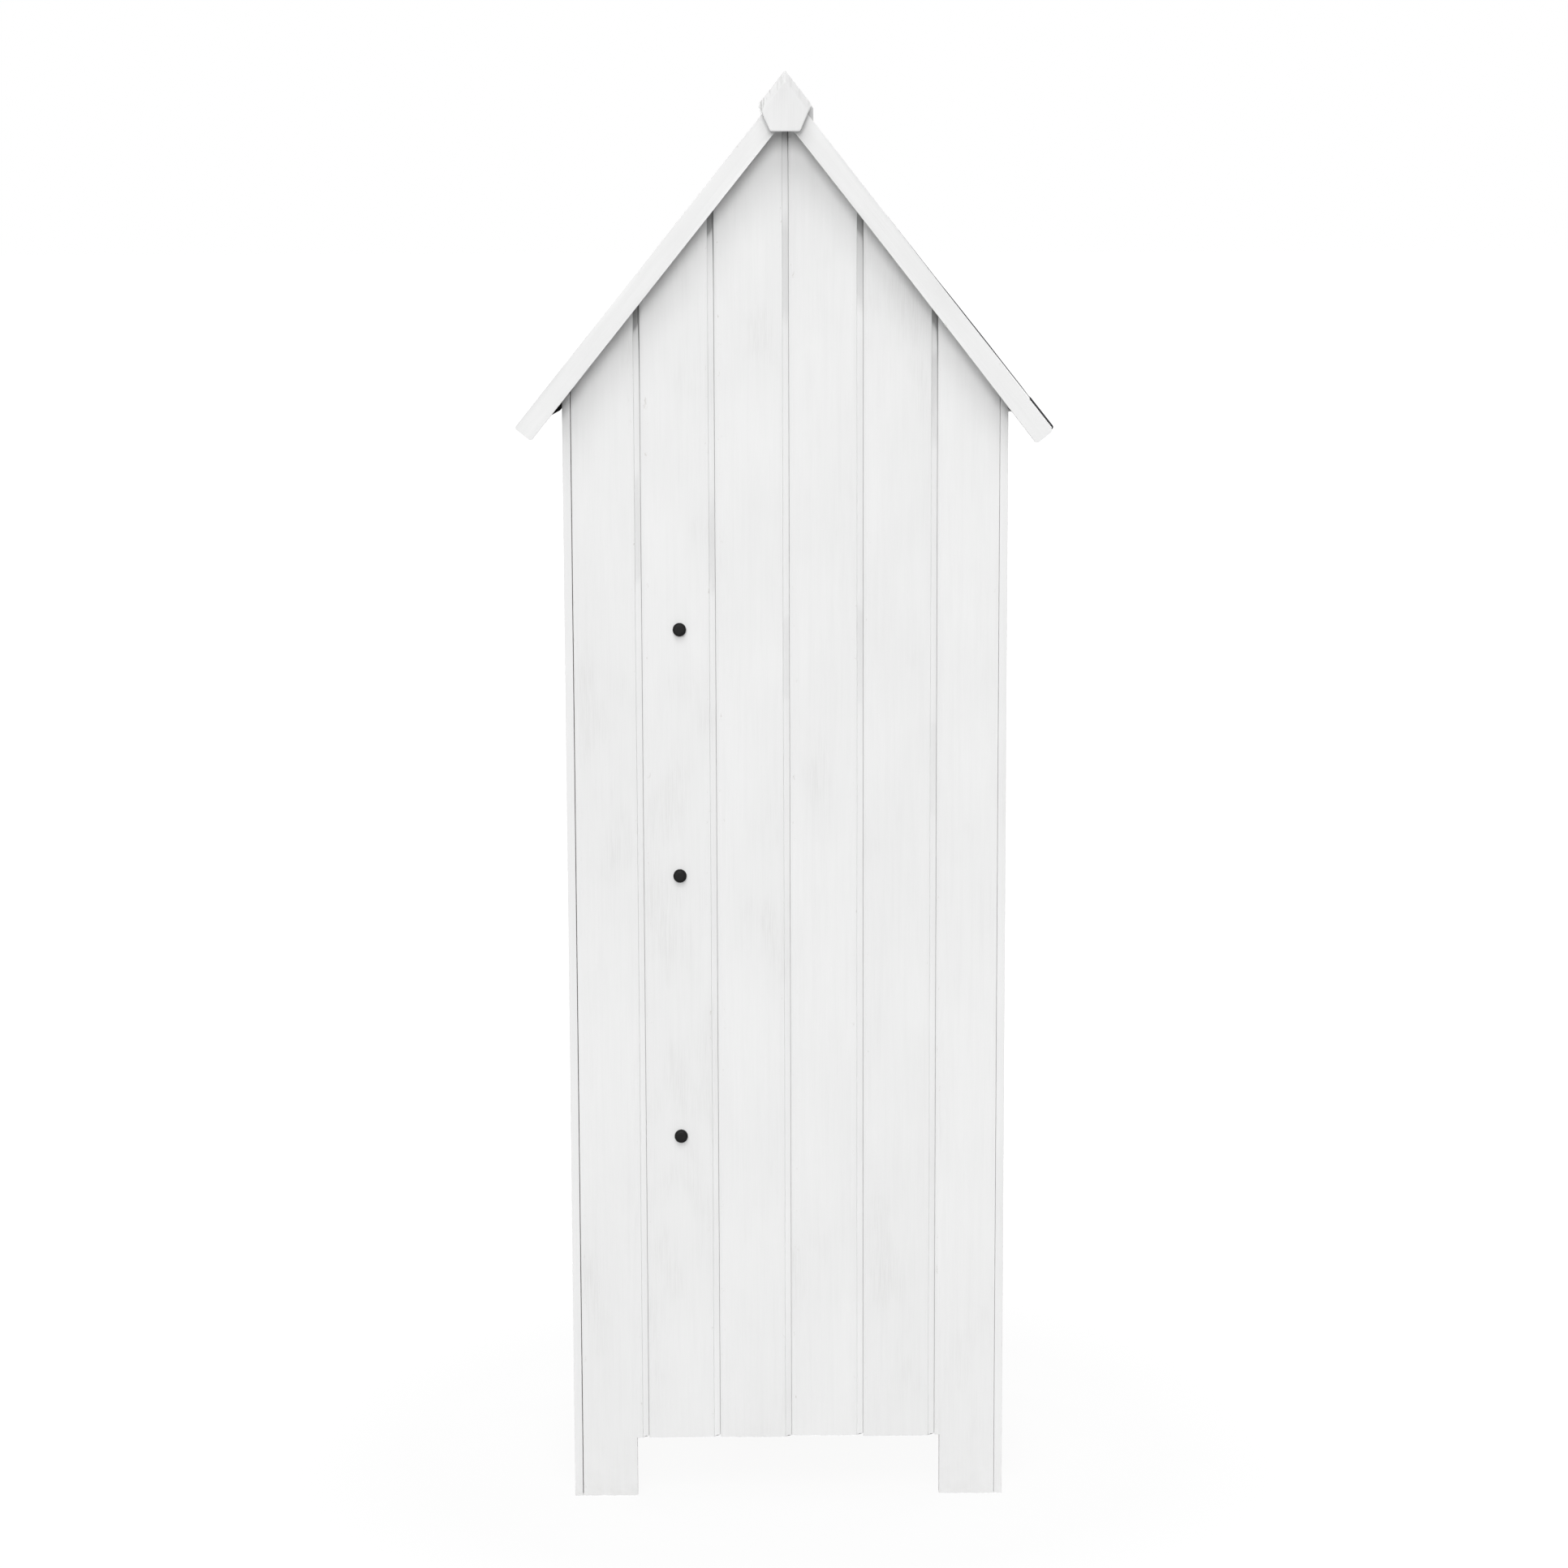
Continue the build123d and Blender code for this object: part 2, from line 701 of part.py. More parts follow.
def hinge_rod(radius, z_low, z_high, mode=Mode.ADD):
    """A round rod on the hinges' axis, or a hole of that shape."""
    with BuildSketch(Plane.XY.offset(z_low)) as section:
        with Locations((hinge_x, hinge_y)):
            Circle(radius)
    extrude(section.sketch, amount=z_high - z_low, mode=mode)


def knuckles(middle, which):
    """The rolled eyes of one half of a hinge, bored for the pin."""
    for low, high in knuckle_spans[which]:
        hinge_rod(knuckle_radius, middle + low, middle + high)
    hinge_rod(hinge_bore, middle - leaf_height, middle + leaf_height, mode=Mode.SUBTRACT)


plate_front = -half_depth - hinge_plate
knuckle_room = knuckle_radius + knuckle_gap
with BuildPart() as leaves:
    for middle in hinge_middles:
        timber(
            (hinge_x - leaf_width, hinge_x),
            (plate_front, -half_depth),
            (middle - leaf_half, middle + leaf_half),
        )
        timber(
            (hinge_x - knuckle_room, hinge_x + overrun),
            (plate_front - overrun, -half_depth + overrun),
            (middle - strap_knuckle_half - knuckle_gap, middle + strap_knuckle_half + knuckle_gap),
            mode=Mode.SUBTRACT,
        )
        knuckles(middle, "leaf")
    rods(frame_screw_places, screw_hole, plate_front, -half_depth, mode=Mode.SUBTRACT)
save(leaves.part, "hinge_leaves")
with BuildPart() as straps:
    for middle in hinge_middles:
        half_tip = strap_tip_width / 2
        straight_end = hinge_x + strap_length - half_tip
        strap_outline = [
            (hinge_x, middle - strap_knuckle_half),
            (straight_end, middle - half_tip),
            (straight_end, middle + half_tip),
            (hinge_x, middle + strap_knuckle_half),
        ]
        cross_slab(strap_outline, plate_front, -half_depth)
        rods([(straight_end, middle)], half_tip, plate_front, -half_depth)
        knuckles(middle, "strap")
    rods(door_screw_places, screw_hole, plate_front, -half_depth, mode=Mode.SUBTRACT)
save(straps.part, "hinge_straps")
with BuildPart() as pins:
    for middle in hinge_middles:
        hinge_rod(hinge_pin_radius, middle - leaf_half, middle + leaf_half)
        for head_low in (middle - leaf_half - pin_head_height, middle + leaf_half):
            hinge_rod(pin_head_radius, head_low, head_low + pin_head_height)
save(pins.part, "hinge_pins")

# Barrel bolt: a plate with two guides on the door, the sliding bolt, and a keep on the stile
bolt_y = plate_front - bolt_lift - bolt_radius
guide_bore = bolt_radius + bolt_clearance
guide_outer = guide_bore + guide_wall
guide_end = plate_end - guide_inset
guide_starts = (guide_end - guide_span, guide_end - guide_length)


def bolt_line(radius, start, length, mode=Mode.ADD):
    """A round rod on the bolt's line of travel, or a hole of that shape."""
    with BuildSketch(Plane.YZ.offset(start)) as section:
        with Locations((bolt_y, bolt_z)):
            Circle(radius)
    extrude(section.sketch, amount=length, mode=mode)


def eye(start, length):
    """A bridge from the plate over the bolt's line, with room for the bolt."""
    timber((start, start + length), (bolt_y, plate_front), (bolt_z - guide_outer, bolt_z + guide_outer))
    bolt_line(guide_outer, start, length)
    timber(
        (start, start + length),
        (-half_depth, bolt_y + guide_outer),
        (bolt_z - guide_outer, bolt_z + guide_outer),
        mode=Mode.SUBTRACT,
    )
    bolt_line(guide_bore, start, length, mode=Mode.SUBTRACT)


plate_heights = (bolt_z - bolt_plate_height / 2, bolt_z + bolt_plate_height / 2)
with BuildPart() as bolt_plate:
    timber((plate_start, plate_end), (plate_front, -half_depth), plate_heights)
    for start in guide_starts:
        eye(start, guide_length)
    rods(plate_screws, screw_hole, plate_front, -half_depth, mode=Mode.SUBTRACT)
save(bolt_plate.part, "bolt_plate")
with BuildPart() as keep:
    timber((keep_start, keep_plate_end), (plate_front, -half_depth), plate_heights)
    eye(keep_start, keep_length)
    rods(keep_screws, screw_hole, plate_front, -half_depth, mode=Mode.SUBTRACT)
save(keep.part, "bolt_keep")
stub_x = guide_starts[0] + guide_length + bolt_stub_radius + bolt_stub_gap
stub_end = bolt_y - bolt_radius - bolt_stub_length
with BuildPart() as bolt:
    bolt_line(bolt_radius, bolt_tip - bolt_length, bolt_length)
    chamfer(bolt.edges().sort_by(Axis.X)[-1], length=bolt_bevel)
    rods([(stub_x, bolt_z)], bolt_stub_radius, stub_end, bolt_y)
    with Locations((stub_x, stub_end, bolt_z)):
        Sphere(bolt_ball_radius)
save(bolt.part, "bolt_rod")

# Turned knob, held by a screw through the door
with BuildPart() as knob:
    with BuildSketch(Plane(origin=(knob_x, -half_depth, knob_z), x_dir=(1, 0, 0), z_dir=(0, 0, 1))):
        with BuildLine():
            neck = Line((0, 0), (knob_neck_radius, 0))
            rim_low = (knob_radius, -knob_length + knob_rim_height)
            rise = Spline((knob_neck_radius, 0), rim_low, tangents=((0, -1), (0, -1)))
            crown = Spline(rim_low, (0, -knob_length), tangents=((0, -1), (-1, 0)))
            Line((0, -knob_length), (0, 0))
        make_face()
    revolve(axis=Axis((knob_x, 0, knob_z), (0, 1, 0)))
    rods([(knob_x, knob_z)], screw_hole, -half_depth - knob_screw_depth, -half_depth, mode=Mode.SUBTRACT)
save(knob.part, "door_knob")


def screw(place, head_seat, length, outward):
    """A raised screw head on its seat, and its shank; outward is -1 for a head that faces the front."""
    x, z = place
    seat = Plane(origin=(x, head_seat, z), x_dir=(1, 0, 0), z_dir=(0, outward, 0))
    with BuildSketch(seat) as head:
        Circle(screw_head_radius)
    extrude(head.sketch, amount=screw_head_height, taper=screw_head_taper)
    with BuildSketch(seat) as shank:
        Circle(screw_radius)
    extrude(shank.sketch, amount=-length)


# Screws of the door's fittings, and those of the fittings on the stiles
with BuildPart() as door_screws:
    for place in door_screw_places:
        screw(place, plate_front, screw_length, -1)
    screw((knob_x, knob_z), door_back, board_thickness + knob_screw_depth, 1)
save(door_screws.part, "door_screws")
with BuildPart() as frame_screws:
    for place in frame_screw_places:
        screw(place, plate_front, screw_length, -1)
save(frame_screws.part, "frame_screws")
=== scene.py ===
import math

import bmesh
import bpy
import numpy as np
from mathutils import Matrix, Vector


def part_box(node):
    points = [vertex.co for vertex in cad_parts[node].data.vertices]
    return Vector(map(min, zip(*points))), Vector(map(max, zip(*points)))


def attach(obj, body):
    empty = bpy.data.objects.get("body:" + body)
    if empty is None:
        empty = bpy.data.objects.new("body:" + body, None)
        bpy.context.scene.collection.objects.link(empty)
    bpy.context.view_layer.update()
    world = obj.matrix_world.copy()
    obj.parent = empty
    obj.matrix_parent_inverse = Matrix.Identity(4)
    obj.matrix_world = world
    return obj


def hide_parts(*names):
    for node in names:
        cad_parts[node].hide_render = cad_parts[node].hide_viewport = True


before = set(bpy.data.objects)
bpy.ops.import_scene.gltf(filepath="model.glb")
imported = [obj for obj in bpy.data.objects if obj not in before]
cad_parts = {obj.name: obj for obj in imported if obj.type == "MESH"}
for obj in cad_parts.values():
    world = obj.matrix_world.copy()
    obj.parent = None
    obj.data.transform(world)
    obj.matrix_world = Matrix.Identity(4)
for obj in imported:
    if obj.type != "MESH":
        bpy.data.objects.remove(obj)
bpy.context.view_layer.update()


# Corner posts, floor and inner timbers. Planed pine battens and boards, left bare, nailed and screwed
# together inside the painted walls. They keep the frame's own shapes and get a pine finish, whose
# grain runs along each timber.
def blank(name):
    """A new material, its node tree, its main shader and the place on the object, in metres."""
    material = bpy.data.materials.new(name)
    material.use_nodes = True
    tree = material.node_tree
    where = tree.nodes.new("ShaderNodeTexCoord").outputs["Object"]
    return material, tree, tree.nodes["Principled BSDF"], where


def fill(tree, node, values):
    """Sets a node's inputs, each to a plain value or by a link from another node's output."""
    for name, value in values.items():
        if isinstance(value, bpy.types.NodeSocket):
            tree.links.new(value, node.inputs[name])
        else:
            node.inputs[name].default_value = value


def noise(tree, vector, scale, detail=4.0, roughness=0.55):
    """A noise texture read at a vector; its value is roughly between 0.3 and 0.7."""
    node = tree.nodes.new("ShaderNodeTexNoise")
    fill(tree, node, {"Vector": vector, "Scale": scale, "Detail": detail, "Roughness": roughness})
    return node.outputs["Fac"]


def spots(tree, vector, scale):
    """The distance from the nearest of many scattered points."""
    node = tree.nodes.new("ShaderNodeTexVoronoi")
    fill(tree, node, {"Vector": vector, "Scale": scale})
    return node.outputs["Distance"]


def ramp(tree, value, stops):
    """A colour ramp through (place, colour) stops; a colour that is one number is a grey."""
    node = tree.nodes.new("ShaderNodeValToRGB")
    band = node.color_ramp
    while len(band.elements) < len(stops):
        band.elements.new(0.5)
    for element, (place, colour) in zip(band.elements, stops):
        element.position = place
        element.color = (*colour, 1.0) if isinstance(colour, tuple) else (colour, colour, colour, 1.0)
    fill(tree, node, {"Fac": value})
    return node.outputs["Color"]


def tint(tree, kind, share, first, second):
    """Two colours mixed; the share and either colour may be an output or a plain value."""
    node = tree.nodes.new("ShaderNodeMix")
    node.data_type = "RGBA"
    node.blend_type = kind
    first, second = ((*colour, 1.0) if isinstance(colour, tuple) else colour for colour in (first, second))
    fill(tree, node, {"Factor": share, "A": first, "B": second})
    return node.outputs["Result"]


def times(tree, first, second, share=1.0):
    """Two colours multiplied, by a share."""
    return tint(tree, "MULTIPLY", share, first, second)


def worked(tree, operation, *values):
    """The result of one sum on outputs."""
    node = tree.nodes.new("ShaderNodeMath")
    node.operation = operation
    fill(tree, node, dict(enumerate(values)))
    return node.outputs[0]


def along_axis(tree, vector, axis):
    """One coordinate of a vector, by its letter."""
    node = tree.nodes.new("ShaderNodeSeparateXYZ")
    fill(tree, node, {"Vector": vector})
    return node.outputs[axis]


def stretched(tree, vector, scales):
    """The vector scaled on each axis, so that a pattern runs long where the scale is small."""
    node = tree.nodes.new("ShaderNodeMapping")
    node.vector_type = "POINT"
    fill(tree, node, {"Vector": vector, "Scale": scales})
    return node.outputs["Vector"]


def finish(tree, shader, colour, roughness, heights, shine=0.5):
    """Colour, roughness and shine of a shader, and its bumps: each a (height, strength, depth in metres)."""
    fill(tree, shader, {"Base Color": colour, "Roughness": roughness, "Specular IOR Level": shine})
    last = shader
    for height, strength, depth in reversed(heights):
        node = tree.nodes.new("ShaderNodeBump")
        fill(tree, node, {"Height": height, "Strength": strength, "Distance": depth})
        fill(tree, last, {"Normal": node.outputs["Normal"]})
        last = node


summer_wood = (0.52, 0.31, 0.14)
middle_wood = (0.70, 0.48, 0.27)
spring_wood = (0.76, 0.56, 0.34)
knot_brown = (0.20, 0.09, 0.035)
gap_shade_grey = (0.04, 0.04, 0.041)
gap_shade_start, gap_shade_end = 0.2088, 0.2094  # from the shed's middle, just under the end walls' inner faces


def pine(name, along, gap_shaded=False):
    """Planed pine: pale wood with darker summer rings drawn out along one axis, and a few knots.

    With painted shade, the faces just under the front and back walls are dark, for the shade deep in the
    joints there.
    """
    material, tree, shader, where = blank(name)
    long_way = stretched(tree, where, [0.045 if axis == along else 1.0 for axis in "XYZ"])
    knot_way = stretched(tree, where, [0.5 if axis == along else 1.0 for axis in "XYZ"])
    rings = noise(tree, long_way, 150.0, 3.0, 0.6)
    fibres = noise(tree, long_way, 900.0, 4.0, 0.6)
    cloud = noise(tree, where, 7.0, 2.0)
    wood = ramp(tree, rings, ((0.36, summer_wood), (0.47, middle_wood), (0.6, spring_wood)))
    wood = times(tree, wood, ramp(tree, fibres, ((0.3, 0.62), (0.7, 1.0))), 0.35)
    wood = times(tree, wood, ramp(tree, cloud, ((0.3, 0.8), (0.7, 1.0))), 0.5)
    knots = ramp(tree, spots(tree, knot_way, 5.5), ((0.035, 1.0), (0.07, 0.0)))
    wood = tint(tree, "MIX", knots, wood, knot_brown)
    # Painted shade: near-black on the faces that show deep in the wall joints
    if gap_shaded:
        depth = worked(tree, "ABSOLUTE", along_axis(tree, where, "Y"))
        wood = tint(tree, "MIX", ramp(tree, depth, ((gap_shade_start, 0.0), (gap_shade_end, 1.0))), wood, gap_shade_grey)
    gloss = ramp(tree, fibres, ((0.3, 0.62), (0.7, 0.8)))
    finish(tree, shader, wood, gloss, ((rings, 0.25, 0.0006), (fibres, 0.3, 0.0003)))
    return material


def dress(material, *names):
    """Gives a finish to nodes that keep the frame's shape."""
    for name in names:
        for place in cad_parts[name].material_slots:
            place.material = material


pine_x = pine("pine_across", "X")
pine_y = pine("pine_back_to_front", "Y")
pine_z = pine("pine_upright", "Z")
dress(pine_z, "divider")
# The corner posts carry painted shade where they show in the joints of the walls
dress(pine("pine_post", "Z", True), "corner_posts")
dress(pine_x, "floor_boards", "shelves", "inner_battens", "rafters")
dress(pine_y, "floor_bearers", "ridge_beam", "eaves_battens")


# White paint. Two coats of satin exterior paint, brushed along the grain of softwood; it has gone a
# little thin and grey in patches, along the arrises and over the knots, and dull near the ground.
old_white = (0.815, 0.816, 0.815)
clean_white = (0.845, 0.846, 0.845)
thin_white = (0.64, 0.635, 0.625)
knot_grey = (0.56, 0.55, 0.53)
chip_grey = (0.55, 0.53, 0.50)
crack_grey = (0.42, 0.42, 0.41)
splash_grey = (0.60, 0.59, 0.57)


def white_paint():
    """Painted softwood, drawn along each piece's own grain, which its mesh carries as an attribute."""
    material, tree, shader, where = blank("white_paint")

    def carried(name, output="Fac"):
        node = tree.nodes.new("ShaderNodeAttribute")
        node.attribute_name = name
        return node.outputs[output]

    grain = carried("grain", "Vector")
    long_way = stretched(tree, grain, (1.0, 1.0, 0.03))
    streaks = noise(tree, long_way, 190.0, 4.0, 0.6)
    fibres = noise(tree, long_way, 950.0, 5.0, 0.65)
    cloud = noise(tree, stretched(tree, grain, (1.0, 1.0, 0.45)), 9.0, 3.0, 0.6)
    brush = noise(tree, stretched(tree, grain, (1.0, 1.0, 0.012)), 420.0, 2.0)
    # The coat in two whites, with brush marks, and thin over the fibres in a few patches
    paint = tint(tree, "MIX", ramp(tree, cloud, ((0.34, 0.0), (0.66, 1.0))), old_white, clean_white)
    paint = times(tree, paint, ramp(tree, streaks, ((0.32, 0.965), (0.5, 0.99), (0.62, 1.0))), 0.6)
    paint = times(tree, paint, ramp(tree, fibres, ((0.3, 0.975), (0.6, 1.0))), 0.6)
    patches = ramp(tree, cloud, ((0.28, 1.0), (0.42, 0.0)))
    thin = times(tree, patches, ramp(tree, fibres, ((0.42, 0.3), (0.56, 0.0))))
    paint = tint(tree, "MIX", thin, paint, thin_white)
    # Knots that show through as faint rings
    knots = spots(tree, stretched(tree, grain, (1.0, 1.0, 0.5)), 3.6)
    ringed = ramp(tree, knots, ((0.0, 0.14), (0.018, 0.05), (0.024, 0.12), (0.034, 0.03), (0.055, 0.0)))
    paint = tint(tree, "MIX", ringed, paint, knot_grey)
    # Chips along the arrises, painted shade in the joints and under the roof, and fine cracks
    chips = noise(tree, stretched(tree, grain, (1.0, 1.0, 0.4)), 120.0, 6.0, 0.75)
    chipped = times(tree, carried("arris"), ramp(tree, chips, ((0.63, 0.0), (0.67, 0.6))))
    paint = tint(tree, "MIX", chipped, paint, chip_grey)
    # Painted shade: the attribute darkens the paint, down to 0.4 of it where it is full
    shade_tone = ramp(tree, carried("painted_shade"), ((0.0, 1.0), (0.5, 0.965), (0.8, 0.72), (1.0, 0.4)))
    paint = times(tree, paint, shade_tone)
    splits = noise(tree, stretched(tree, grain, (1.0, 0.1, 0.1)), 330.0, 2.0, 0.5)
    cracked = times(tree, carried("cracks"), ramp(tree, splits, ((0.55, 0.0), (0.59, 0.55))))
    paint = tint(tree, "MIX", cracked, paint, crack_grey)
    # Rain splashes near the ground, and each piece's own shade
    low = ramp(tree, along_axis(tree, where, "Z"), ((0.0, 0.3), (0.02, 0.1), (0.09, 0.0)))
    splash = times(tree, low, ramp(tree, noise(tree, where, 38.0, 5.0, 0.65), ((0.38, 0.0), (0.68, 1.0))))
    paint = tint(tree, "MIX", splash, paint, splash_grey)
    paint = times(tree, paint, ramp(tree, carried("shade"), ((0.0, 0.985), (1.0, 1.0))))
    gloss = ramp(tree, cloud, ((0.3, 0.62), (0.7, 0.46)))
    bumps = (streaks, 0.25, 0.0008), (fibres, 0.2, 0.0003), (brush, 0.2, 0.0002)
    finish(tree, shader, paint, gloss, bumps, 0.35)
    return material


paint = white_paint()


# Back wall. Six upright tongue-and-groove boards of painted softwood, nailed to the frame; each has a
# planed bevel along its groove and shows a sunk band of tongue. The two outermost run down as legs.
draw = np.random.default_rng(11)


def smooth_random(length, seed, waves=(0.9, 0.37, 0.15)):
    """A slow wander between about -1 and 1: three added sines of falling wavelength and seeded phase."""
    phases = np.random.default_rng(seed).uniform(0, 2 * math.pi, len(waves))
    weights = np.array((0.55, 0.3, 0.15))
    turns = np.asarray(length)[..., None] / np.array(waves) * 2 * math.pi + phases
    return (np.sin(turns) * weights).sum(-1)


def rounded(outline, radius, steps=3):
    """A closed outline whose corners are cut by quadratic curves that leave each edge at the radius."""
    corner = np.asarray(outline, float)
    back = np.roll(corner, 1, 0) - corner
    on = np.roll(corner, -1, 0) - corner
    back_length = np.linalg.norm(back, axis=1)
    on_length = np.linalg.norm(on, axis=1)
    reach = np.minimum(radius, 0.4 * np.minimum(back_length, on_length)) * np.ones(len(corner))
    start = corner + back * (reach / back_length)[:, None]
    end = corner + on * (reach / on_length)[:, None]
    t = np.linspace(0, 1, steps + 1)[None, :, None]
    curve = (1 - t) ** 2 * start[:, None] + 2 * t * (1 - t) * corner[:, None] + t**2 * end[:, None]
    return curve.reshape(-1, 2)


def divided(outline, spacing):
    """A closed outline with its long edges divided evenly, and 1 for each of its own corners, else 0."""
    points = np.asarray(outline, float)
    step = np.roll(points, -1, 0) - points
    parts = np.maximum(1, np.ceil(np.linalg.norm(step, axis=1) / spacing).astype(int))
    edge = np.repeat(np.arange(len(points)), parts)
    count = np.arange(len(edge)) - np.repeat(np.cumsum(parts) - parts, parts)
    share = count / parts[edge]
    return points[edge] + share[:, None] * step[edge], (share == 0).astype(float)


def tube_faces(rings, around):
    """Quads between each ring of points and the next one."""
    here = np.arange(around)
    ahead = np.roll(here, -1)
    first = (np.arange(rings - 1) * around)[:, None]
    quads = np.stack((first + here, first + ahead, first + around + ahead, first + around + here), -1)
    return quads.reshape(-1, 4).tolist()


def capped_tube(rings, around):
    """Quads between rings of points, and one face over each end."""
    last = (rings - 1) * around
    return tube_faces(rings, around) + [list(range(around)), list(range(last, last + around))]


def shown(name, data):
    """A new object that holds the data, put into the scene."""
    thing = bpy.data.objects.new(name, data)
    bpy.context.scene.collection.objects.link(thing)
    return thing


def build(
    name, points, faces, material, body, nodes=(), grain=(0, 0, 1),
    near=None, painted_shade=None, cracks=None, sharp=32,
):
    """A mesh piece with outward faces, that rides on a body and may stand for CAD nodes.

    It carries its grain: its place along and across a direction, moved by a random amount. It also carries
    how near to an arris each point is, how much painted shade it has and how cracked it is, and one random
    tone of its own; such values are given round one ring or for all points.
    """
    points = np.asarray(points, float).reshape(-1, 3)
    mesh = bpy.data.meshes.new(name)
    mesh.from_pydata(points.tolist(), [], faces)
    grown = bmesh.new()
    grown.from_mesh(mesh)
    bmesh.ops.recalc_face_normals(grown, faces=grown.faces)
    grown.to_mesh(mesh)
    grown.free()
    way = np.array(grain, float) / np.linalg.norm(grain)
    side = np.cross(way, (0.0, 1.0, 0.0) if abs(way[1]) < 0.9 else (1.0, 0.0, 0.0))
    side /= np.linalg.norm(side)
    own = points @ np.stack((side, np.cross(way, side), way), 1) + draw.uniform(-4, 4, 3)
    mesh.attributes.new("grain", "FLOAT_VECTOR", "POINT").data.foreach_set("vector", own.ravel())
    carried = {"arris": near, "painted_shade": painted_shade, "cracks": cracks, "shade": [draw.uniform(0.0, 1.0)]}
    for word, values in carried.items():
        values = np.zeros(1) if values is None else np.asarray(values, float)
        everywhere = np.tile(values, len(points) // len(values))
        mesh.attributes.new(word, "FLOAT", "POINT").data.foreach_set("value", everywhere)
    mesh.polygons.foreach_set("use_smooth", np.ones(len(mesh.polygons), bool))
    mesh.set_sharp_from_angle(angle=math.radians(sharp))
    mesh.materials.append(material)
    piece = shown(name, mesh)
    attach(piece, body)
    if nodes:
        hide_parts(*nodes)
    return piece


board_thickness = 0.010
board_cover = 0.0914
tongue_show = 0.008
tongue_hidden = 0.004
tongue_front = 0.002
tongue_back = 0.006
tongue_play = 0.0002
groove_spare = 0.0005
back_face_gap = 0.0003
bevel_width = 0.004
bevel_depth = 0.001
face_ease = 0.0008
inner_ease = 0.0002
section_spacing = 0.007
wall_half = 0.274
wall_end = 0.220
eaves_height = 1.424
pitch = math.radians(51.5)
deck_gap = 0.0003
leg_height = 0.078
leg_line_x = wall_half - 0.0805
leg_line_y = wall_end - 0.0695
riser_half = 0.00002
quirk_width = 0.0003  # slit between a board's face and the band of tongue beside it
quirk_depth = 0.0022
quirk_gape = 0.0016
gape_fall = 0.03
slight_gape = 0.3
saw_error = (-0.0012, 0.0010)
saw_tilt = 0.008
tongue_short = 0.0018
hidden_top = 0.035  # height of a board's head behind the bargeboards
fine_top = 0.1
fine_rings = 26
coarse_spacing = 0.03
edge_sway = 0.00025
face_cup = 0.00012
tiny = 1e-6


def roof_under(x):
    """Height of the roof decks' underside over a place across the shed."""
    return eaves_height + (wall_half - np.abs(x)) * math.tan(pitch) - deck_gap / math.cos(pitch)


def board_section(cover, first, last):
    """Section of a board, across from its groove edge and in from its face, with the arrises eased."""
    groove_floor = tongue_hidden + groove_spare
    groove_front, groove_back = tongue_front - tongue_play, tongue_back + tongue_play
    left = [(0, board_thickness), (0, 0)] if first else [
        (0, board_thickness), (0, groove_back), (groove_floor, groove_back), (groove_floor, groove_front),
        (0, groove_front), (0, bevel_depth), (bevel_width, 0),
    ]
    band_end, tongue_end, back_end = cover - quirk_width, cover + tongue_hidden, cover - back_face_gap
    quirk_floor = tongue_front + quirk_depth
    right = [(cover, 0), (cover, board_thickness)] if last else [
        (cover - tongue_show, 0), (cover - tongue_show, tongue_front), (band_end, tongue_front),
        (band_end, quirk_floor), (tongue_end, quirk_floor), (tongue_end, tongue_back),
        (back_end, tongue_back), (back_end, board_thickness),
    ]
    reach = [inner_ease if 0 < depth < board_thickness else face_ease for _, depth in left + right]
    outline, near = divided(rounded(left + right, np.array(reach)), section_spacing)
    return outline, near * (outline[:, 1] < 0.0005)


def crossed(outline, near, level):
    """A closed outline with a point added wherever an edge crosses a level of its first coordinate."""
    across = outline[:, 0] - level
    ahead = np.roll(across, -1)
    cut = np.flatnonzero(across * ahead < 0)
    share = (across[cut] / (across[cut] - ahead[cut]))[:, None]
    added = outline[cut] + share * (np.roll(outline, -1, 0)[cut] - outline[cut])
    return np.insert(outline, cut + 1, added, 0), np.insert(near, cut + 1, 0.0)


def end_faces(keys, start, step_face):
    """Faces that close an end: one, or two that meet where the keys change, by a riser or a shared edge."""
    order = np.arange(len(keys))
    changes = np.flatnonzero(keys != np.roll(keys, 1))
    if len(changes) < 2:
        return [(order + start).tolist()]
    order = np.roll(order, -changes[0])
    first, second = np.split(order, [changes[1] - changes[0]])
    if keys[first[0]]:
        first, second = second, first
    if step_face:
        riser = [first[-1], second[0], second[-1], first[0]]
        return [(first + start).tolist(), (second + start).tolist(), [int(i + start) for i in riser]]
    shared = np.concatenate(([first[-1]], second, [first[0]]))
    return [(first + start).tolist(), (shared + start).tolist()]


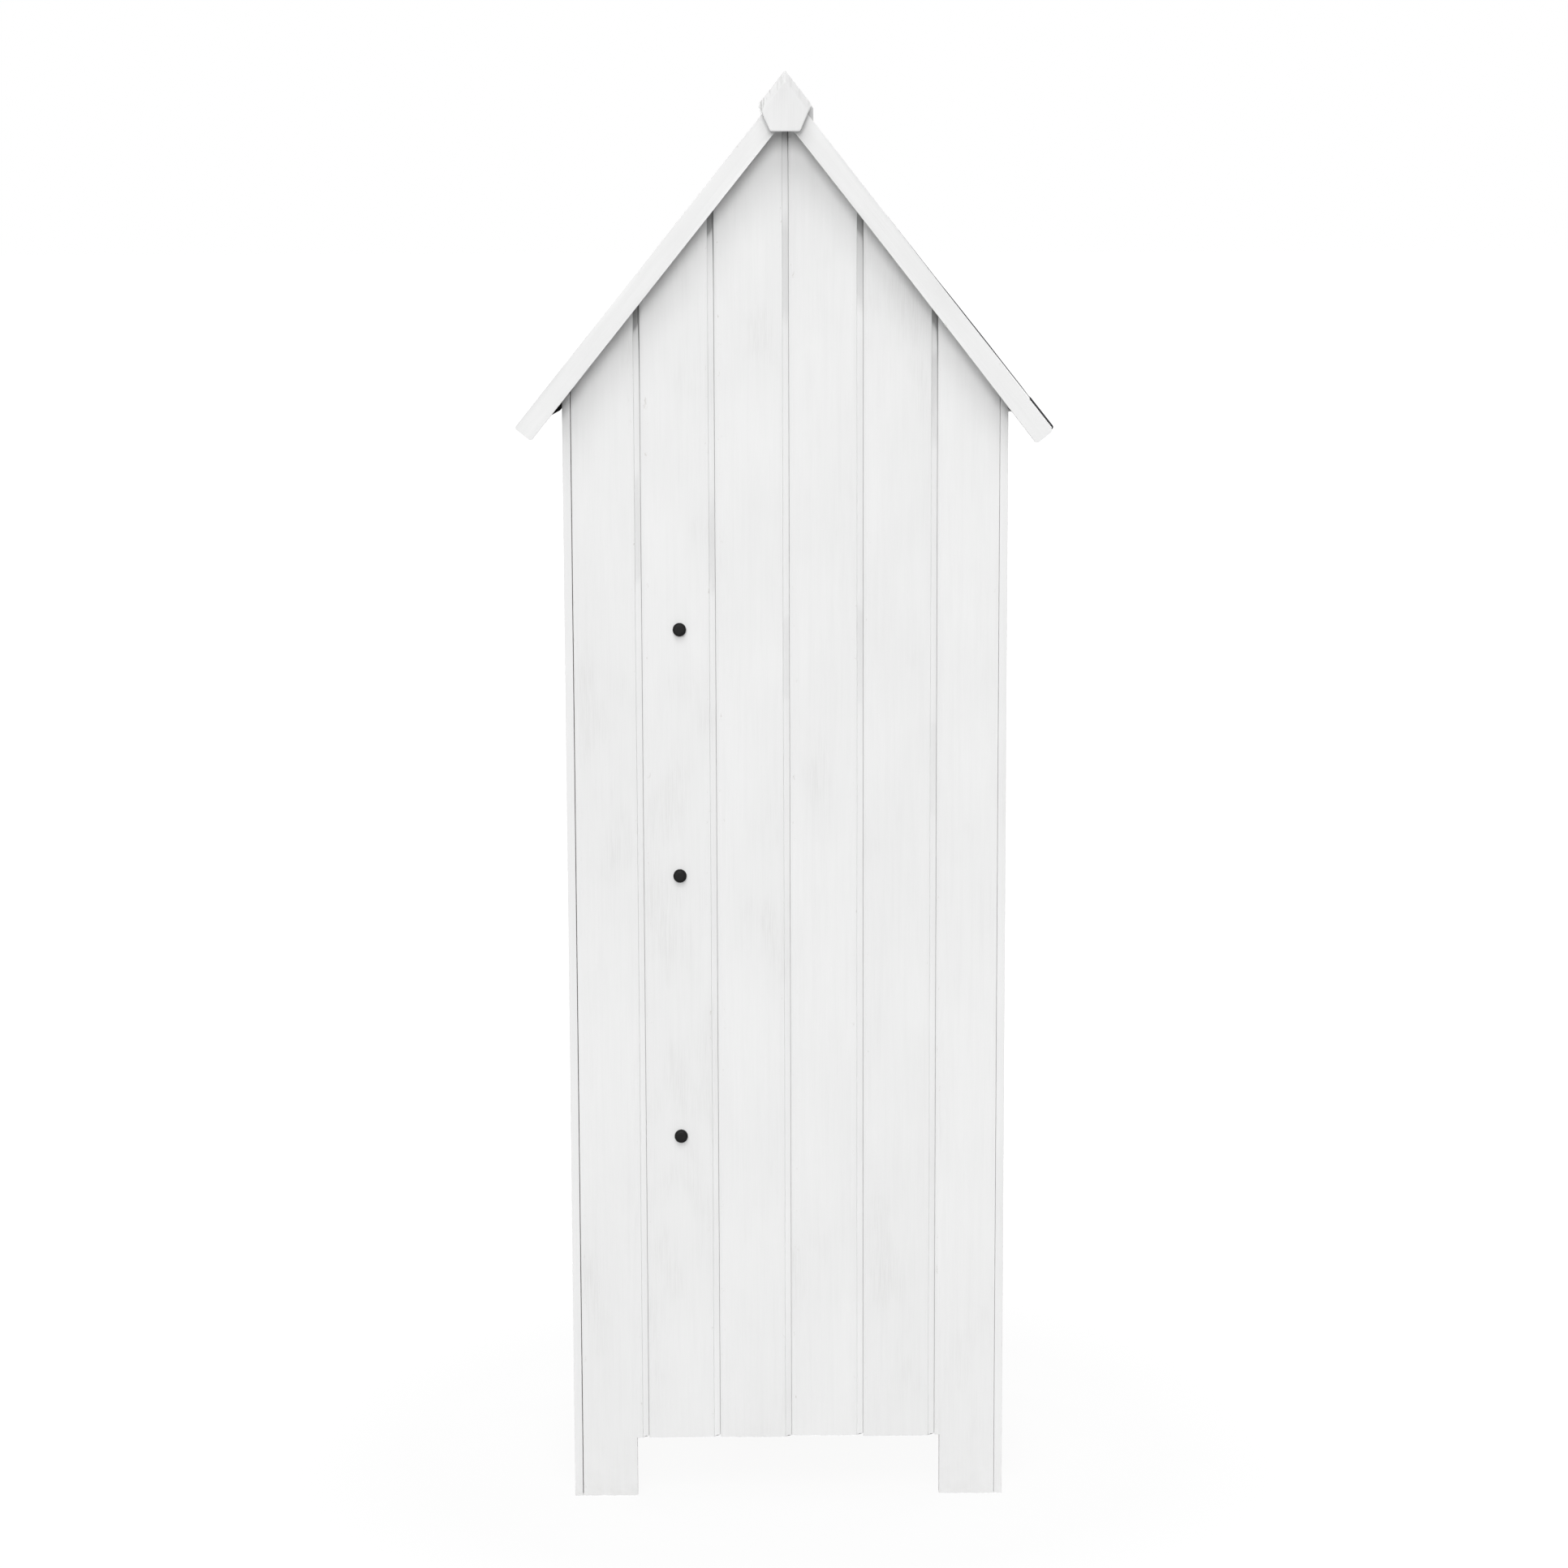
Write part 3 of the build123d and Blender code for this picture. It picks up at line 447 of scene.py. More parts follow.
def board(
    name, origin, across, inward, cover, first, last, low, high, body, nodes=(), legs=None, gape=slight_gape,
):
    """An upright board: its section carried up from the foot to the roof, with a slow wander of its edges.

    A point round the section at place u and height share t lies at foot(u) + t * (head(u) - foot(u)). The
    slit along its tongue widens exponentially towards the roof, by its gape. The band of tongue and the
    slit carry painted shade: a base, a share of the height, random patches, and, weighted by the gape, a
    step and a slow fall below the roof, where the bargeboards shade them; the slit's is darker. Where the
    wall has legs, the feet of the boards between them are sawn off by eye.
    """
    outline, near = board_section(cover, first, last)
    origin, across, inward = (np.array(v, float) for v in (origin, across, inward))

    def spread(section):
        return origin + section[..., :1] * across + section[..., 1:] * inward

    flat = spread(outline)
    peaked = callable(high) and bool(flat[:, 0].min() < -tiny < tiny < flat[:, 0].max())
    if legs:
        axis, line = legs
        edge = math.copysign(line, flat[:, axis].mean())
        if flat[:, axis].min() < edge < flat[:, axis].max():
            for side in (-riser_half, riser_half):
                outline, near = crossed(outline, near, abs(edge - origin[axis]) + side)
    if peaked:
        outline, near = crossed(outline, near, abs(origin[0]))

    flat = spread(outline)
    place, depth = outline.T
    foot = np.where(np.abs(flat[:, axis]) > line, 0.0, leg_height) if legs else np.full(len(flat), low)
    raised = foot > low + tiny
    trim = draw.uniform(*saw_error) + draw.uniform(-saw_tilt, saw_tilt) * place
    foot = foot + raised * (trim + tongue_short * (place > cover - tongue_show + inner_ease))
    head = high(flat[:, 0]) if callable(high) else np.full(len(flat), high)
    length = (head - foot).max()
    fine = fine_top / length
    coarse = np.linspace(0, 1 - fine, 2 + int((length - fine_top) / coarse_spacing))[:-1]
    t = np.concatenate((coarse, np.linspace(1 - fine, 1, fine_rings)))[:, None]
    height = foot + t * (head - foot)

    seed = int(draw.integers(1 << 30))
    sway = edge_sway * smooth_random(height, seed) * (depth < 0.003)
    cup = face_cup * smooth_random(height + place * 3, seed + 1) * (depth < 1e-5)
    section = outline + np.stack((sway * ((place > 0.001) & (place < cover - 0.001)), np.abs(cup)), -1)
    below = np.maximum(0, head - height - hidden_top)
    tongue = (depth > tongue_front - 0.0003) & (depth < tongue_back)
    slit = tongue & (np.abs(place - cover + quirk_width) < 0.00035)
    section[..., 0] -= gape * slit * (quirk_gape * np.exp(-below / gape_fall) + 0.0004)
    points = np.concatenate((spread(section), height[..., None]), -1)
    faces = tube_faces(len(t), len(outline)) + end_faces(raised, 0, True)
    faces += end_faces(peaked & (flat[:, 0] > 1e-9), (len(t) - 1) * len(outline), False)

    behind = depth > tongue_front + 0.0001
    band, gap = tongue & ~behind, tongue & behind & (place > cover - 0.002)
    # Painted shade of the band of tongue and of the slit, darkest just under the roof, where the bargeboards
    # shade it
    patches = np.clip(1.5 * smooth_random(height, seed + 2, (0.5, 0.23, 0.11)) - 0.4, 0, 0.2)
    at_roof = 0.5 / (1 + np.exp((below - 0.012) / 0.003)) + 0.25 * np.exp(-below / 0.05)
    dusk = 0.15 + 0.2 * height + patches + gape * at_roof
    dusk = np.where(gap, 0.6 + gape * 0.6 * np.exp(-below / 0.1), dusk)
    painted_shade = ((band | gap) * dusk * (not last)).ravel()
    return build(name, points, faces, paint, body, nodes, near=near, painted_shade=painted_shade)


def joints(first, count, length):
    """Where a row's boards start, and its end: the first cover has its own width, and whole ones follow."""
    return [0.0, *(first + board_cover * number for number in range(count - 1)), length]


def wall(prefix, origin, across, inward, places, low, high, body, legs=None, gapes=(slight_gape,) * 5):
    """Boards side by side, from the first one's groove edge to the last one's square edge."""
    origin, across = np.array(origin, float), np.array(across, float)
    for number, (place, after, gape) in enumerate(zip(places, places[1:], (*gapes, 0.0)), 1):
        node = f"{prefix}_{number}"
        board(
            f"{node}_painted", origin + across * place, across, inward, after - place, number == 1,
            number == len(places) - 1, low, high, body, (node,), legs, gape,
        )


back_start = 0.2632
# How far each joint's slit opens towards the roof; this also weights its painted shade there
back_gapes = (1.0, 0.95, 0.5, 0.6, 0.85)
wall(
    "back_board", (back_start, wall_end), (-1, 0), (0, -1), joints(0.085, 6, 0.5269), 0.0, roof_under, "shed",
    (0, leg_line_x), back_gapes,
)


# Side walls. Five boards each, the same as the back wall's; they cover the back boards' edges, and the
# first and the last board of each run down as the sides of the legs.
stile_back = -0.202
side_joints = joints(0.0739, 5, wall_end - stile_back)
side_legs = (1, leg_line_y)
for word, start, side in (("right", stile_back, 1), ("left", wall_end, -1)):
    corner = (side * wall_half, start)
    wall(f"{word}_side_board", corner, (0, side), (-side, 0), side_joints, 0.0, roof_under, "shed", side_legs)


# Front frame. Two stiles of planed timber that stand on the ground as the front legs, with a header
# rail and a sill between them, all painted, glued and screwed from inside.
timber_ease = 0.0012
timber_spacing = 0.02
timber_step = 0.08


def timber(name, low, high, way, body, nodes=(), ease=timber_ease, head=None):
    """A squared timber: a rectangle with eased arrises carried along an axis, drawn in a little at the ends.

    The point at (round u, along t) is section(u), shrunk by the ease on the first and last rings.
    """
    low, high = np.array(low, float), np.array(high, float)
    a, b = (axis for axis in range(3) if axis != way)
    size = high - low
    corners = [(0, 0), (size[a], 0), (size[a], size[b]), (0, size[b])]
    outline, near = divided(rounded(corners, ease), timber_spacing)
    length = size[way]
    between = np.linspace(ease, length - ease, 3 + int(length / timber_step))
    stations = np.concatenate(([0.0], between, [length]))[:, None]
    inset = np.where((stations == 0) | (stations == length), ease, 0.0)[..., None]
    middle = np.array((size[a], size[b])) / 2
    section = middle + (outline - middle) * (1 - inset / middle)
    points = np.empty((len(stations), len(outline), 3))
    points[..., a] = low[a] + section[..., 0]
    points[..., b] = low[b] + section[..., 1]
    points[..., way] = low[way] + stations
    if head:
        points[..., way] += stations / length * (head(points[..., 0]) - high[way])
    faces = capped_tube(*points.shape[:2])
    return build(name, points, faces, paint, body, nodes, grain=np.eye(3)[way], near=near)


for name in ("left_stile", "right_stile"):
    timber(f"{name}_painted", *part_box(name), 2, "shed", (name,), head=roof_under)
for name in ("header_rail", "sill"):
    timber(f"{name}_painted", *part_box(name), 0, "shed", (name,))


# Front gable. Five boards that stand on the header rail and are cut to the roof's slope.
gable_joints = joints(0.0819, 5, 0.438)
gable_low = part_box("gable_boards")[0]
for number, (place, after) in enumerate(zip(gable_joints, gable_joints[1:]), 1):
    piece = board(
        f"gable_board_{number}", (gable_low.x + place, stile_back - board_thickness), (1, 0), (0, 1),
        after - place, number == 1, number == 5, gable_low.z, roof_under, "shed",
    )
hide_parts("gable_boards")


# Roof covering. A sheet of mineral roofing felt on each slope, nailed to the deck, with a second strip
# along the eaves; its edges are cut by knife, and it has taken slow ripples in the sun.
eaves_reach = 0.046
slope_length = (wall_half + eaves_reach) / math.cos(pitch)
apex_height = eaves_height + wall_half * math.tan(pitch)
deck_end = 0.250
deck_top = 0.0078
felt_top = 0.0084
strip_base = 0.0070
strip_top = 0.0092
strip_start = slope_length - 0.045
felt_nose = slope_length + 0.0014
turned_down = 0.001
nose_gap = 0.0003
felt_ripple = 0.0008
sheet_spacing = 0.02
tar_black = (0.012, 0.012, 0.013)
charcoal = (0.045, 0.046, 0.05)
mineral_grey = (0.16, 0.16, 0.165)


def felt_finish():
    """Charcoal felt: fine pale and dark mineral grains on tar, a little dust, no shine."""
    material, tree, shader, where = blank("roofing_felt")
    grains = noise(tree, where, 1900.0, 2.0, 0.7)
    patches = noise(tree, where, 14.0, 4.0)
    colour = ramp(tree, grains, ((0.35, tar_black), (0.55, charcoal), (0.7, mineral_grey)))
    colour = times(tree, colour, ramp(tree, patches, ((0.3, 0.6), (0.7, 1.0))), 0.6)
    gloss = ramp(tree, grains, ((0.3, 0.95), (0.7, 0.8)))
    finish(tree, shader, colour, gloss, ((grains, 0.7, 0.0006), (patches, 0.2, 0.002)), 0.25)
    return material


def slope_point(down, above):
    """X and Z on the +X slope, by the way down from the ridge and the height above the deck's underside."""
    return (
        down * math.cos(pitch) + above * math.sin(pitch),
        apex_height - down * math.sin(pitch) + above * math.cos(pitch),
    )


def mitre(above):
    """Way down the slope at which a height above the decks' underside meets the middle plane."""
    return -above * math.tan(pitch)


def slope_sheet(name, outline, side, material, ease, ripple=0.0):
    """An outline across the slope carried from the front to the back; its upper side may ripple.

    The point at (round u, along t) is outline(u) at depth y(t), lifted by a slow wander.
    """
    section, near = divided(rounded(outline, ease), sheet_spacing)
    y = np.linspace(-deck_end, deck_end, 2 + int(2 * deck_end / sheet_spacing))[:, None]
    upper = (section[:, 1] > felt_top - 0.0003) & (section[:, 0] < strip_start - 0.002)
    lift = ripple * (0.5 + 0.5 * smooth_random(y * 1.7 + section[:, 0] * 2.3, 5 + (side > 0))) * upper
    x, z = slope_point(np.broadcast_to(section[:, 0], lift.shape), section[:, 1] + lift)
    points = np.stack((side * np.maximum(x, 0), np.broadcast_to(y, x.shape), z), -1)
    return build(name, points, capped_tube(*x.shape), material, "shed", (), (0, 1, 0), near)


felt = felt_finish()
felt_outline = [
    (mitre(deck_top), deck_top), (strip_start, deck_top), (strip_start, strip_base),
    (slope_length + nose_gap, strip_base), (slope_length + nose_gap, turned_down),
    (felt_nose, turned_down), (felt_nose, strip_top), (strip_start, strip_top),
    (strip_start, felt_top), (mitre(felt_top), felt_top),
]
felt_ease = np.array([0.0002, 0.0001, 0.0001, 0.0001, 0.0003, 0.0003, 0.0035, 0.0004, 0.0002, 0.0002])
for word, side in (("right", 1), ("left", -1)):
    sheet = slope_sheet(f"felt_{word}", felt_outline, side, felt, felt_ease, felt_ripple)
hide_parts("roofing_felt")


# Roof decks. Painted boards that run from front to back under the felt, with a V between each two
# of them on the underside; the walls and the rafters carry them. They are rebated for the second felt.
vee_half, vee_depth = 0.0025, 0.0022
rebate_play = 0.0002
vee_places = np.arange(slope_length - board_cover, 0.06, -board_cover)
vees = np.concatenate([[(p + vee_half, 0.0), (p, vee_depth), (p - vee_half, 0.0)] for p in vee_places])
rebate = [
    (slope_length, strip_base - rebate_play), (strip_start - rebate_play, strip_base - rebate_play),
    (strip_start - rebate_play, deck_top),
]
deck_outline = [(mitre(deck_top), deck_top), (0.0, 0.0), *vees[::-1], (slope_length, 0.0), *rebate]
for word, side in (("right", 1), ("left", -1)):
    deck = slope_sheet(f"roof_deck_{word}", deck_outline, side, paint, 0.0003)
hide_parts("roof_decks")


# Eaves wedges. Strips in the corners between the side walls and the decks' undersides, coloured nearly
# black as painted shade for the dark hollow under the eaves; the end of the right one shows black under the
# back bargeboard.
def hollow_shade_finish():
    """Painted shade for the dark hollow under the eaves: nearly black and dull, a little paler in dusty
    patches.
    """
    material, tree, shader, where = blank("tarred_wood")
    dust = noise(tree, stretched(tree, where, (1.0, 0.1, 1.0)), 220.0, 4.0)
    # Painted shade: a near-black colour where the real eaves only show a shadowed hollow
    colour = ramp(tree, dust, ((0.35, 0.003), (0.75, 0.008)))
    gloss = ramp(tree, dust, ((0.3, 0.75), (0.7, 0.95)))
    finish(tree, shader, colour, gloss, ((dust, 0.3, 0.0004),), 0.05)
    return material


def strip(name, corners, ease, spacing, stations, side, material, end_shade=0.0):
    """A straight strip under or on the roof: an X and Z section carried through the Y stations."""
    section, near = divided(rounded(corners, ease), spacing)
    y = np.broadcast_to(stations[:, None], (len(stations), len(section)))
    x, z = (np.broadcast_to(values, y.shape) for values in section.T)
    points = np.stack((side * x, y, z), -1)
    # Painted shade on the rings at the two ends, by the end share
    painted_shade = (end_shade * (np.abs(y) == deck_end)).ravel()
    return build(name, points, capped_tube(*y.shape), material, "shed", (), (0, 1, 0), near, painted_shade)


painted_hollow = hollow_shade_finish()
wedge_reach = 0.0425
wedge_tip = (wall_half + wedge_reach, eaves_height - wedge_reach * math.tan(pitch))
wedge_stations = np.linspace(-deck_end, deck_end, 12)
for word, side, wedge_height in (("right", 1, 0.0299), ("left", -1, 0.0332)):
    corners = [(wall_half, eaves_height), wedge_tip, (wall_half, eaves_height - wedge_height)]
    wedge = strip(f"eaves_wedge_{word}", corners, 0.0006, 0.02, wedge_stations, side, painted_hollow)
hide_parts("eaves_wedges")


# Ridge cap. Two painted boards that cover the felt's meeting at the ridge, nailed down between the
# bargeboards; their ends carry painted shade, for the shadow that the finials throw on them.
cap_thickness = 0.01035
end_ease = 0.0005
cap_rise = (felt_top + np.array([0, 0, cap_thickness, cap_thickness])) / math.cos(pitch)
inner_stations = np.linspace(-deck_end + end_ease, deck_end - end_ease, 18)
cap_stations = np.concatenate(([-deck_end], inner_stations, [deck_end]))
for word, side, width in (("right", 1, 0.0225), ("left", -1, 0.0345)):
    x = np.array([0, width, width, 0])
    corners = np.stack((x, apex_height - x * math.tan(pitch) + cap_rise), 1)
    # Both ends get painted shade, for the finials' shadow
    ridge = strip(f"ridge_cap_{word}", corners, 0.0012, 0.01, cap_stations, side, paint, 0.8)
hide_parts("ridge_cap")


# Bargeboards. Planed and painted boards nailed to the decks' ends, mitred at the ridge, with their
# lower corners rounded by sandpaper. The back right one's foot sits a little high; the back left one has
# sagged towards its foot, which bares the felt's edge.
barge_low = -0.0168
barge_top = 0.0089
barge_corner = 0.004
barge_end = deck_end + 0.012
barge_wave = 0.0003
for word, side, end, lift, bend, extra in (
    ("back_right", 1, 1, 0.0035, 1, 0.0011),
    ("back_left", -1, 1, -0.0036, 2, 0.0027),
    ("front_right", 1, -1, 0.0, 1, 0.0011),
    ("front_left", -1, -1, 0.0, 1, 0.0011),
):
    length = slope_length + extra
    y_low, y_high = sorted((end * deck_end, end * barge_end))
    corners = [(y_low, barge_low), (y_high, barge_low), (y_high, barge_top), (y_low, barge_top)]
    section, near = divided(rounded(corners, face_ease), 0.006)
    tail = length - barge_corner * (1 - np.cos(np.linspace(0, math.pi / 2, 7)))[::-1, None]
    start = mitre(section[:, 1])
    straight = start + np.linspace(0, 1, 24)[:-1, None] * (length - barge_corner - start)
    down = np.concatenate((straight, np.broadcast_to(tail, (len(tail), len(section)))))
    into_corner = np.maximum(0, down - length + barge_corner)
    round_off = barge_corner - np.sqrt(np.maximum(0, barge_corner**2 - into_corner**2))
    above = np.clip(section[:, 1], barge_low + round_off, barge_top - round_off)
    above = above + lift * np.maximum(0, down / length) ** bend
    x, z = slope_point(down, above)
    wave = barge_wave * np.abs(smooth_random(down + above * 6, 40 + side * 3 + (end > 0)))
    y = section[:, 0] - np.where(section[:, 0] == end * barge_end, end * wave, 0)
    points = np.stack((side * np.maximum(x, 0), y, z), -1)
    way = (side * math.cos(pitch), 0, -math.sin(pitch))
    node, faces = f"{word}_bargeboard", capped_tube(*x.shape)
    build(f"{node}_painted", points, faces, paint, "shed", (node,), grain=way, near=near)


# Finials. A five-sided block of painted wood over each pair of bargeboards, nailed through, with a
# broad bevel planed along its two upper edges; the paint on the bevels is cracked, most on one side.
def inset_corners(corners, amounts):
    """Corners of a closed outline whose edges have each moved inwards by their own amount."""
    corners = np.asarray(corners, float)
    edge = np.roll(corners, -1, 0) - corners
    normal = np.stack((-edge[:, 1], edge[:, 0]), 1) / np.linalg.norm(edge, axis=1)[:, None]
    level = (normal * corners).sum(1) + np.asarray(amounts)
    last_normal, last_level = np.roll(normal, 1, 0), np.roll(level, 1)
    cross = last_normal[:, 0] * normal[:, 1] - last_normal[:, 1] * normal[:, 0]
    x = (last_level * normal[:, 1] - level * last_normal[:, 1]) / cross
    z = (level * last_normal[:, 0] - last_level * normal[:, 0]) / cross
    return np.stack((x, z), 1)


finial_low, finial_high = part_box("back_finial")
finial_foot = 0.018
finial_bevel = 0.008
finial_ease = 0.0018
few_cracks = 0.2
finial_end = barge_end + 0.020
bevel_start = finial_end - finial_bevel
finial_layers = (  # depth, inset of the two upper edges, inset of the other three, share of cracks
    (barge_end, 0.0, 0.0, 0.0),
    (bevel_start, 0.0, 0.0, 1.0),
    (bevel_start + 0.0006, 0.0004, 0.0, 1.0),
    (finial_end - 0.0012, finial_bevel - 0.0012, 0.0, 1.0),
    (finial_end - 0.0004, finial_bevel - 0.0003, 0.0004, 0.3),
    (finial_end, finial_bevel + 0.0006, 0.0014, 0.0),
    (finial_end, finial_bevel + 0.0016, 0.0024, 0.0),
)
for word, turn, half in (("back", 1, 0.032), ("front", -1, 0.029)):
    shoulder = finial_high.z - half * math.tan(pitch)
    outline = [
        (0, finial_high.z), (-half, shoulder), (-finial_foot, finial_low.z), (finial_foot, finial_low.z),
        (half, shoulder),
    ]
    rings, splits = [], []
    for depth, upper, other, share in finial_layers:
        ring = rounded(inset_corners(outline, (upper, other, other, other, upper)), finial_ease, 4)
        rings.append(np.stack((ring[:, 0], np.full(len(ring), turn * depth), ring[:, 1]), 1))
        x, _, z = rings[0].T
        splits.append(share * np.where(x > 0.003, 1.0, few_cracks) * (z > shoulder - 0.004))
    node, faces = f"{word}_finial", capped_tube(len(rings), len(x))
    build(f"{node}_painted", rings, faces, paint, "shed", (node,), cracks=np.concatenate(splits))


# Nuts and caps of the tool hooks. Zinc nuts on the hooks' threaded ends, each under a moulded black
# plastic cap with a flat top and a rounded rim, pushed on from outside.
def black_plastic():
    """Moulded plastic: near black, half matt, with a fine spark-eroded grain and a trace of dust."""
    material, tree, shader, where = blank("black_plastic")
    grain = noise(tree, where, 2400.0, 2.0)
    dust = noise(tree, where, 160.0, 4.0)
    colour = ramp(tree, dust, ((0.4, 0.004), (0.8, 0.012)))
    gloss = ramp(tree, dust, ((0.3, 0.42), (0.7, 0.6)))
    finish(tree, shader, colour, gloss, ((grain, 0.2, 0.0001),), 0.15)
    return material


def turned(name, centre, axis, profile, material, body, nodes, around=48):
    """A turned piece: radius and height pairs carried round an axis through the centre.

    The point at (along t, round a) is centre + height(t) * axis + radius(t) * (cos a, sin a) across it.
    """
    axis = np.array(axis, float)
    side = np.cross(axis, (0.0, 0.0, 1.0))
    other = np.cross(axis, side)
    radius, height = np.array(profile, float).T
    angle = np.linspace(0, 2 * math.pi, around, endpoint=False)
    ring = np.cos(angle)[:, None] * side + np.sin(angle)[:, None] * other
    points = np.array(centre, float) + height[:, None, None] * axis + radius[:, None, None] * ring
    return build(name, points, capped_tube(len(radius), around), material, body, nodes, axis, sharp=40)


plastic = black_plastic()
cap_profile = [  # from the hollow over the nut, round the rim, to the middle of the flat top
    (0.0030, 0.0046), (0.0062, 0.0046), (0.0066, 0.0042), (0.0066, 0.0002), (0.0069, 0.0),
    (0.0080, 0.0), (0.0083, 0.0004), (0.0083, 0.0042), (0.00815, 0.0050), (0.0076, 0.0058),
    (0.0068, 0.0065), (0.0060, 0.0069), (0.0054, 0.0070), (0.0030, 0.0070), (0.0004, 0.0070),
]
hook_places = ((0.1344, 0.4755), (0.1335, 0.8105), (0.132, 1.1206))
for number, (x, z) in enumerate(hook_places, 1):
    centre = (x, wall_end, z)
    cap = turned(f"hook_cap_{number}", centre, (0, 1, 0), cap_profile, plastic, "shed", ())
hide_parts("hook_caps")


def metal(name, dark, pale, roughness, metallic):
    """A metal finish: a colour that varies in soft patches, and small scuffs that change its gloss."""
    material, tree, shader, where = blank(name)
    patches = noise(tree, where, 90.0, 4.0)
    scuffs = noise(tree, where, 700.0, 3.0, 0.7)
    colour = ramp(tree, patches, ((0.35, dark), (0.65, pale)))
    gloss = ramp(tree, scuffs, ((0.3, roughness - 0.1), (0.7, roughness + 0.12)))
    finish(tree, shader, colour, gloss, ((scuffs, 0.15, 0.0002),))
    fill(tree, shader, {"Metallic": metallic})
    return material


zinc = metal("zinc_plate", (0.50, 0.51, 0.53), (0.66, 0.66, 0.68), 0.38, 1.0)
black = metal("black_steel", (0.018, 0.018, 0.019), (0.035, 0.034, 0.034), 0.45, 0.0)
dress(zinc, "hook_nuts")
dress(black, "tool_hooks", "hinge_leaves", "hinge_straps", "hinge_pins")
dress(black, "bolt_plate", "bolt_rod", "bolt_keep")


# Door. Five boards like the walls', nailed to three ledges and two braces, hung between the stiles;
# stops behind it keep the weather out.
door_low, door_high = (corner.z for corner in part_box("door_board_1"))
door_half = 0.216
door_joints = joints(0.0789, 5, 2 * door_half)
wall("door_board", (-door_half, -wall_end), (1, 0), (0, 1), door_joints, door_low, door_high, "door")
ledge_low, ledge_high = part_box("door_ledges")
ledge_height = 0.045
middle_ledge = (ledge_low.z + ledge_high.z - ledge_height) / 2
ledge_places = (ledge_low.z, middle_ledge, ledge_high.z - ledge_height)
for number, low_z in enumerate(ledge_places, 1):
    corners = (ledge_low.x, ledge_low.y, low_z), (ledge_high.x, ledge_high.y, low_z + ledge_height)
    ledge = timber(f"door_ledge_{number}", *corners, 0, "door")
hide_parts("door_ledges")


def slab(name, outline, y_low, y_high, way, body):
    """A flat shape with an X and Z outline, which is drawn in a little on both faces."""
    ease = timber_ease
    rings = []
    for y, amount in ((y_low, ease), (y_low + ease, 0.0), (y_high - ease, 0.0), (y_high, ease)):
        ring = rounded(inset_corners(outline, np.full(len(outline), amount)), 0.001)
        rings.append(np.stack((ring[:, 0], np.full(len(ring), y), ring[:, 1]), 1))
    faces = capped_tube(len(rings), len(ring))
    return build(name, rings, faces, paint, body, grain=way, near=np.full(len(ring), 0.5))


brace_foot = 0.058
for number, (under, over) in enumerate(zip(ledge_places, ledge_places[1:]), 1):
    foot_z = under + ledge_height
    outline = [
        (ledge_low.x, foot_z), (ledge_low.x + brace_foot, foot_z), (ledge_high.x, over),
        (ledge_high.x - brace_foot, over),
    ]
    way = (ledge_high.x - ledge_low.x - brace_foot, 0, over - foot_z)
    brace = slab(f"door_brace_{number}", outline, ledge_low.y, ledge_high.y, way, "door")
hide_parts("door_braces")
stop_low, stop_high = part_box("door_stops")
stop_width = 0.010
stop_gap = 0.0003
stop_ease = 0.0008
for word, x_low in (("left", stop_low.x), ("right", stop_high.x - stop_width)):
    corners = (x_low, stop_low.y, stop_low.z), (x_low + stop_width, stop_high.y, stop_high.z)
    timber(f"door_stop_{word}", *corners, 2, "shed", ease=stop_ease)
head_low = (stop_low.x + stop_width + stop_gap, stop_low.y, stop_high.z - stop_width)
head_high = (stop_high.x - stop_width - stop_gap, stop_high.y, stop_high.z)
head_stop = timber("door_stop_head", head_low, head_high, 0, "shed", ease=stop_ease)
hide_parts("door_stops")


# Door knob. Turned from hardwood on a lathe, painted, and held by a screw from behind. Its neck swells
# by a smooth step, and its crown is a quarter of an ellipse.
knob_low, knob_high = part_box("door_knob")
knob_x, knob_z = (knob_low.x + knob_high.x) / 2, (knob_low.z + knob_high.z) / 2
knob_length = knob_high.y - knob_low.y
neck_radius, knob_radius, rim_height = 0.008, 0.015, 0.018
t = np.linspace(0, 1, 12)
neck = np.stack((neck_radius + (knob_radius - neck_radius) * (3 * t**2 - 2 * t**3), rim_height * t), 1)
crown_rise = (knob_length - rim_height) * np.sin(t * math.pi / 2)
crown = np.stack((knob_radius * np.cos(t * math.pi / 2) + 0.0003, rim_height + crown_rise), 1)
knob_profile = np.concatenate(([(0.0004, 0.0)], neck, crown[1:]))
turned(
    "door_knob_painted", (knob_x, knob_high.y, knob_z), (0, -1, 0), knob_profile, paint, "door",
    ("door_knob",), 56,
)


# Screws. Raised heads with a cross recess, black, driven through the hinges and the bolt's plates; one
# more holds the knob from behind.
shank_radius, head_radius = 0.0015, 0.0032
rim_rise, dome_rise = 0.0003, 0.0013
recess_half, recess_reach, recess_depth = 0.00045, 0.0021, 0.0010


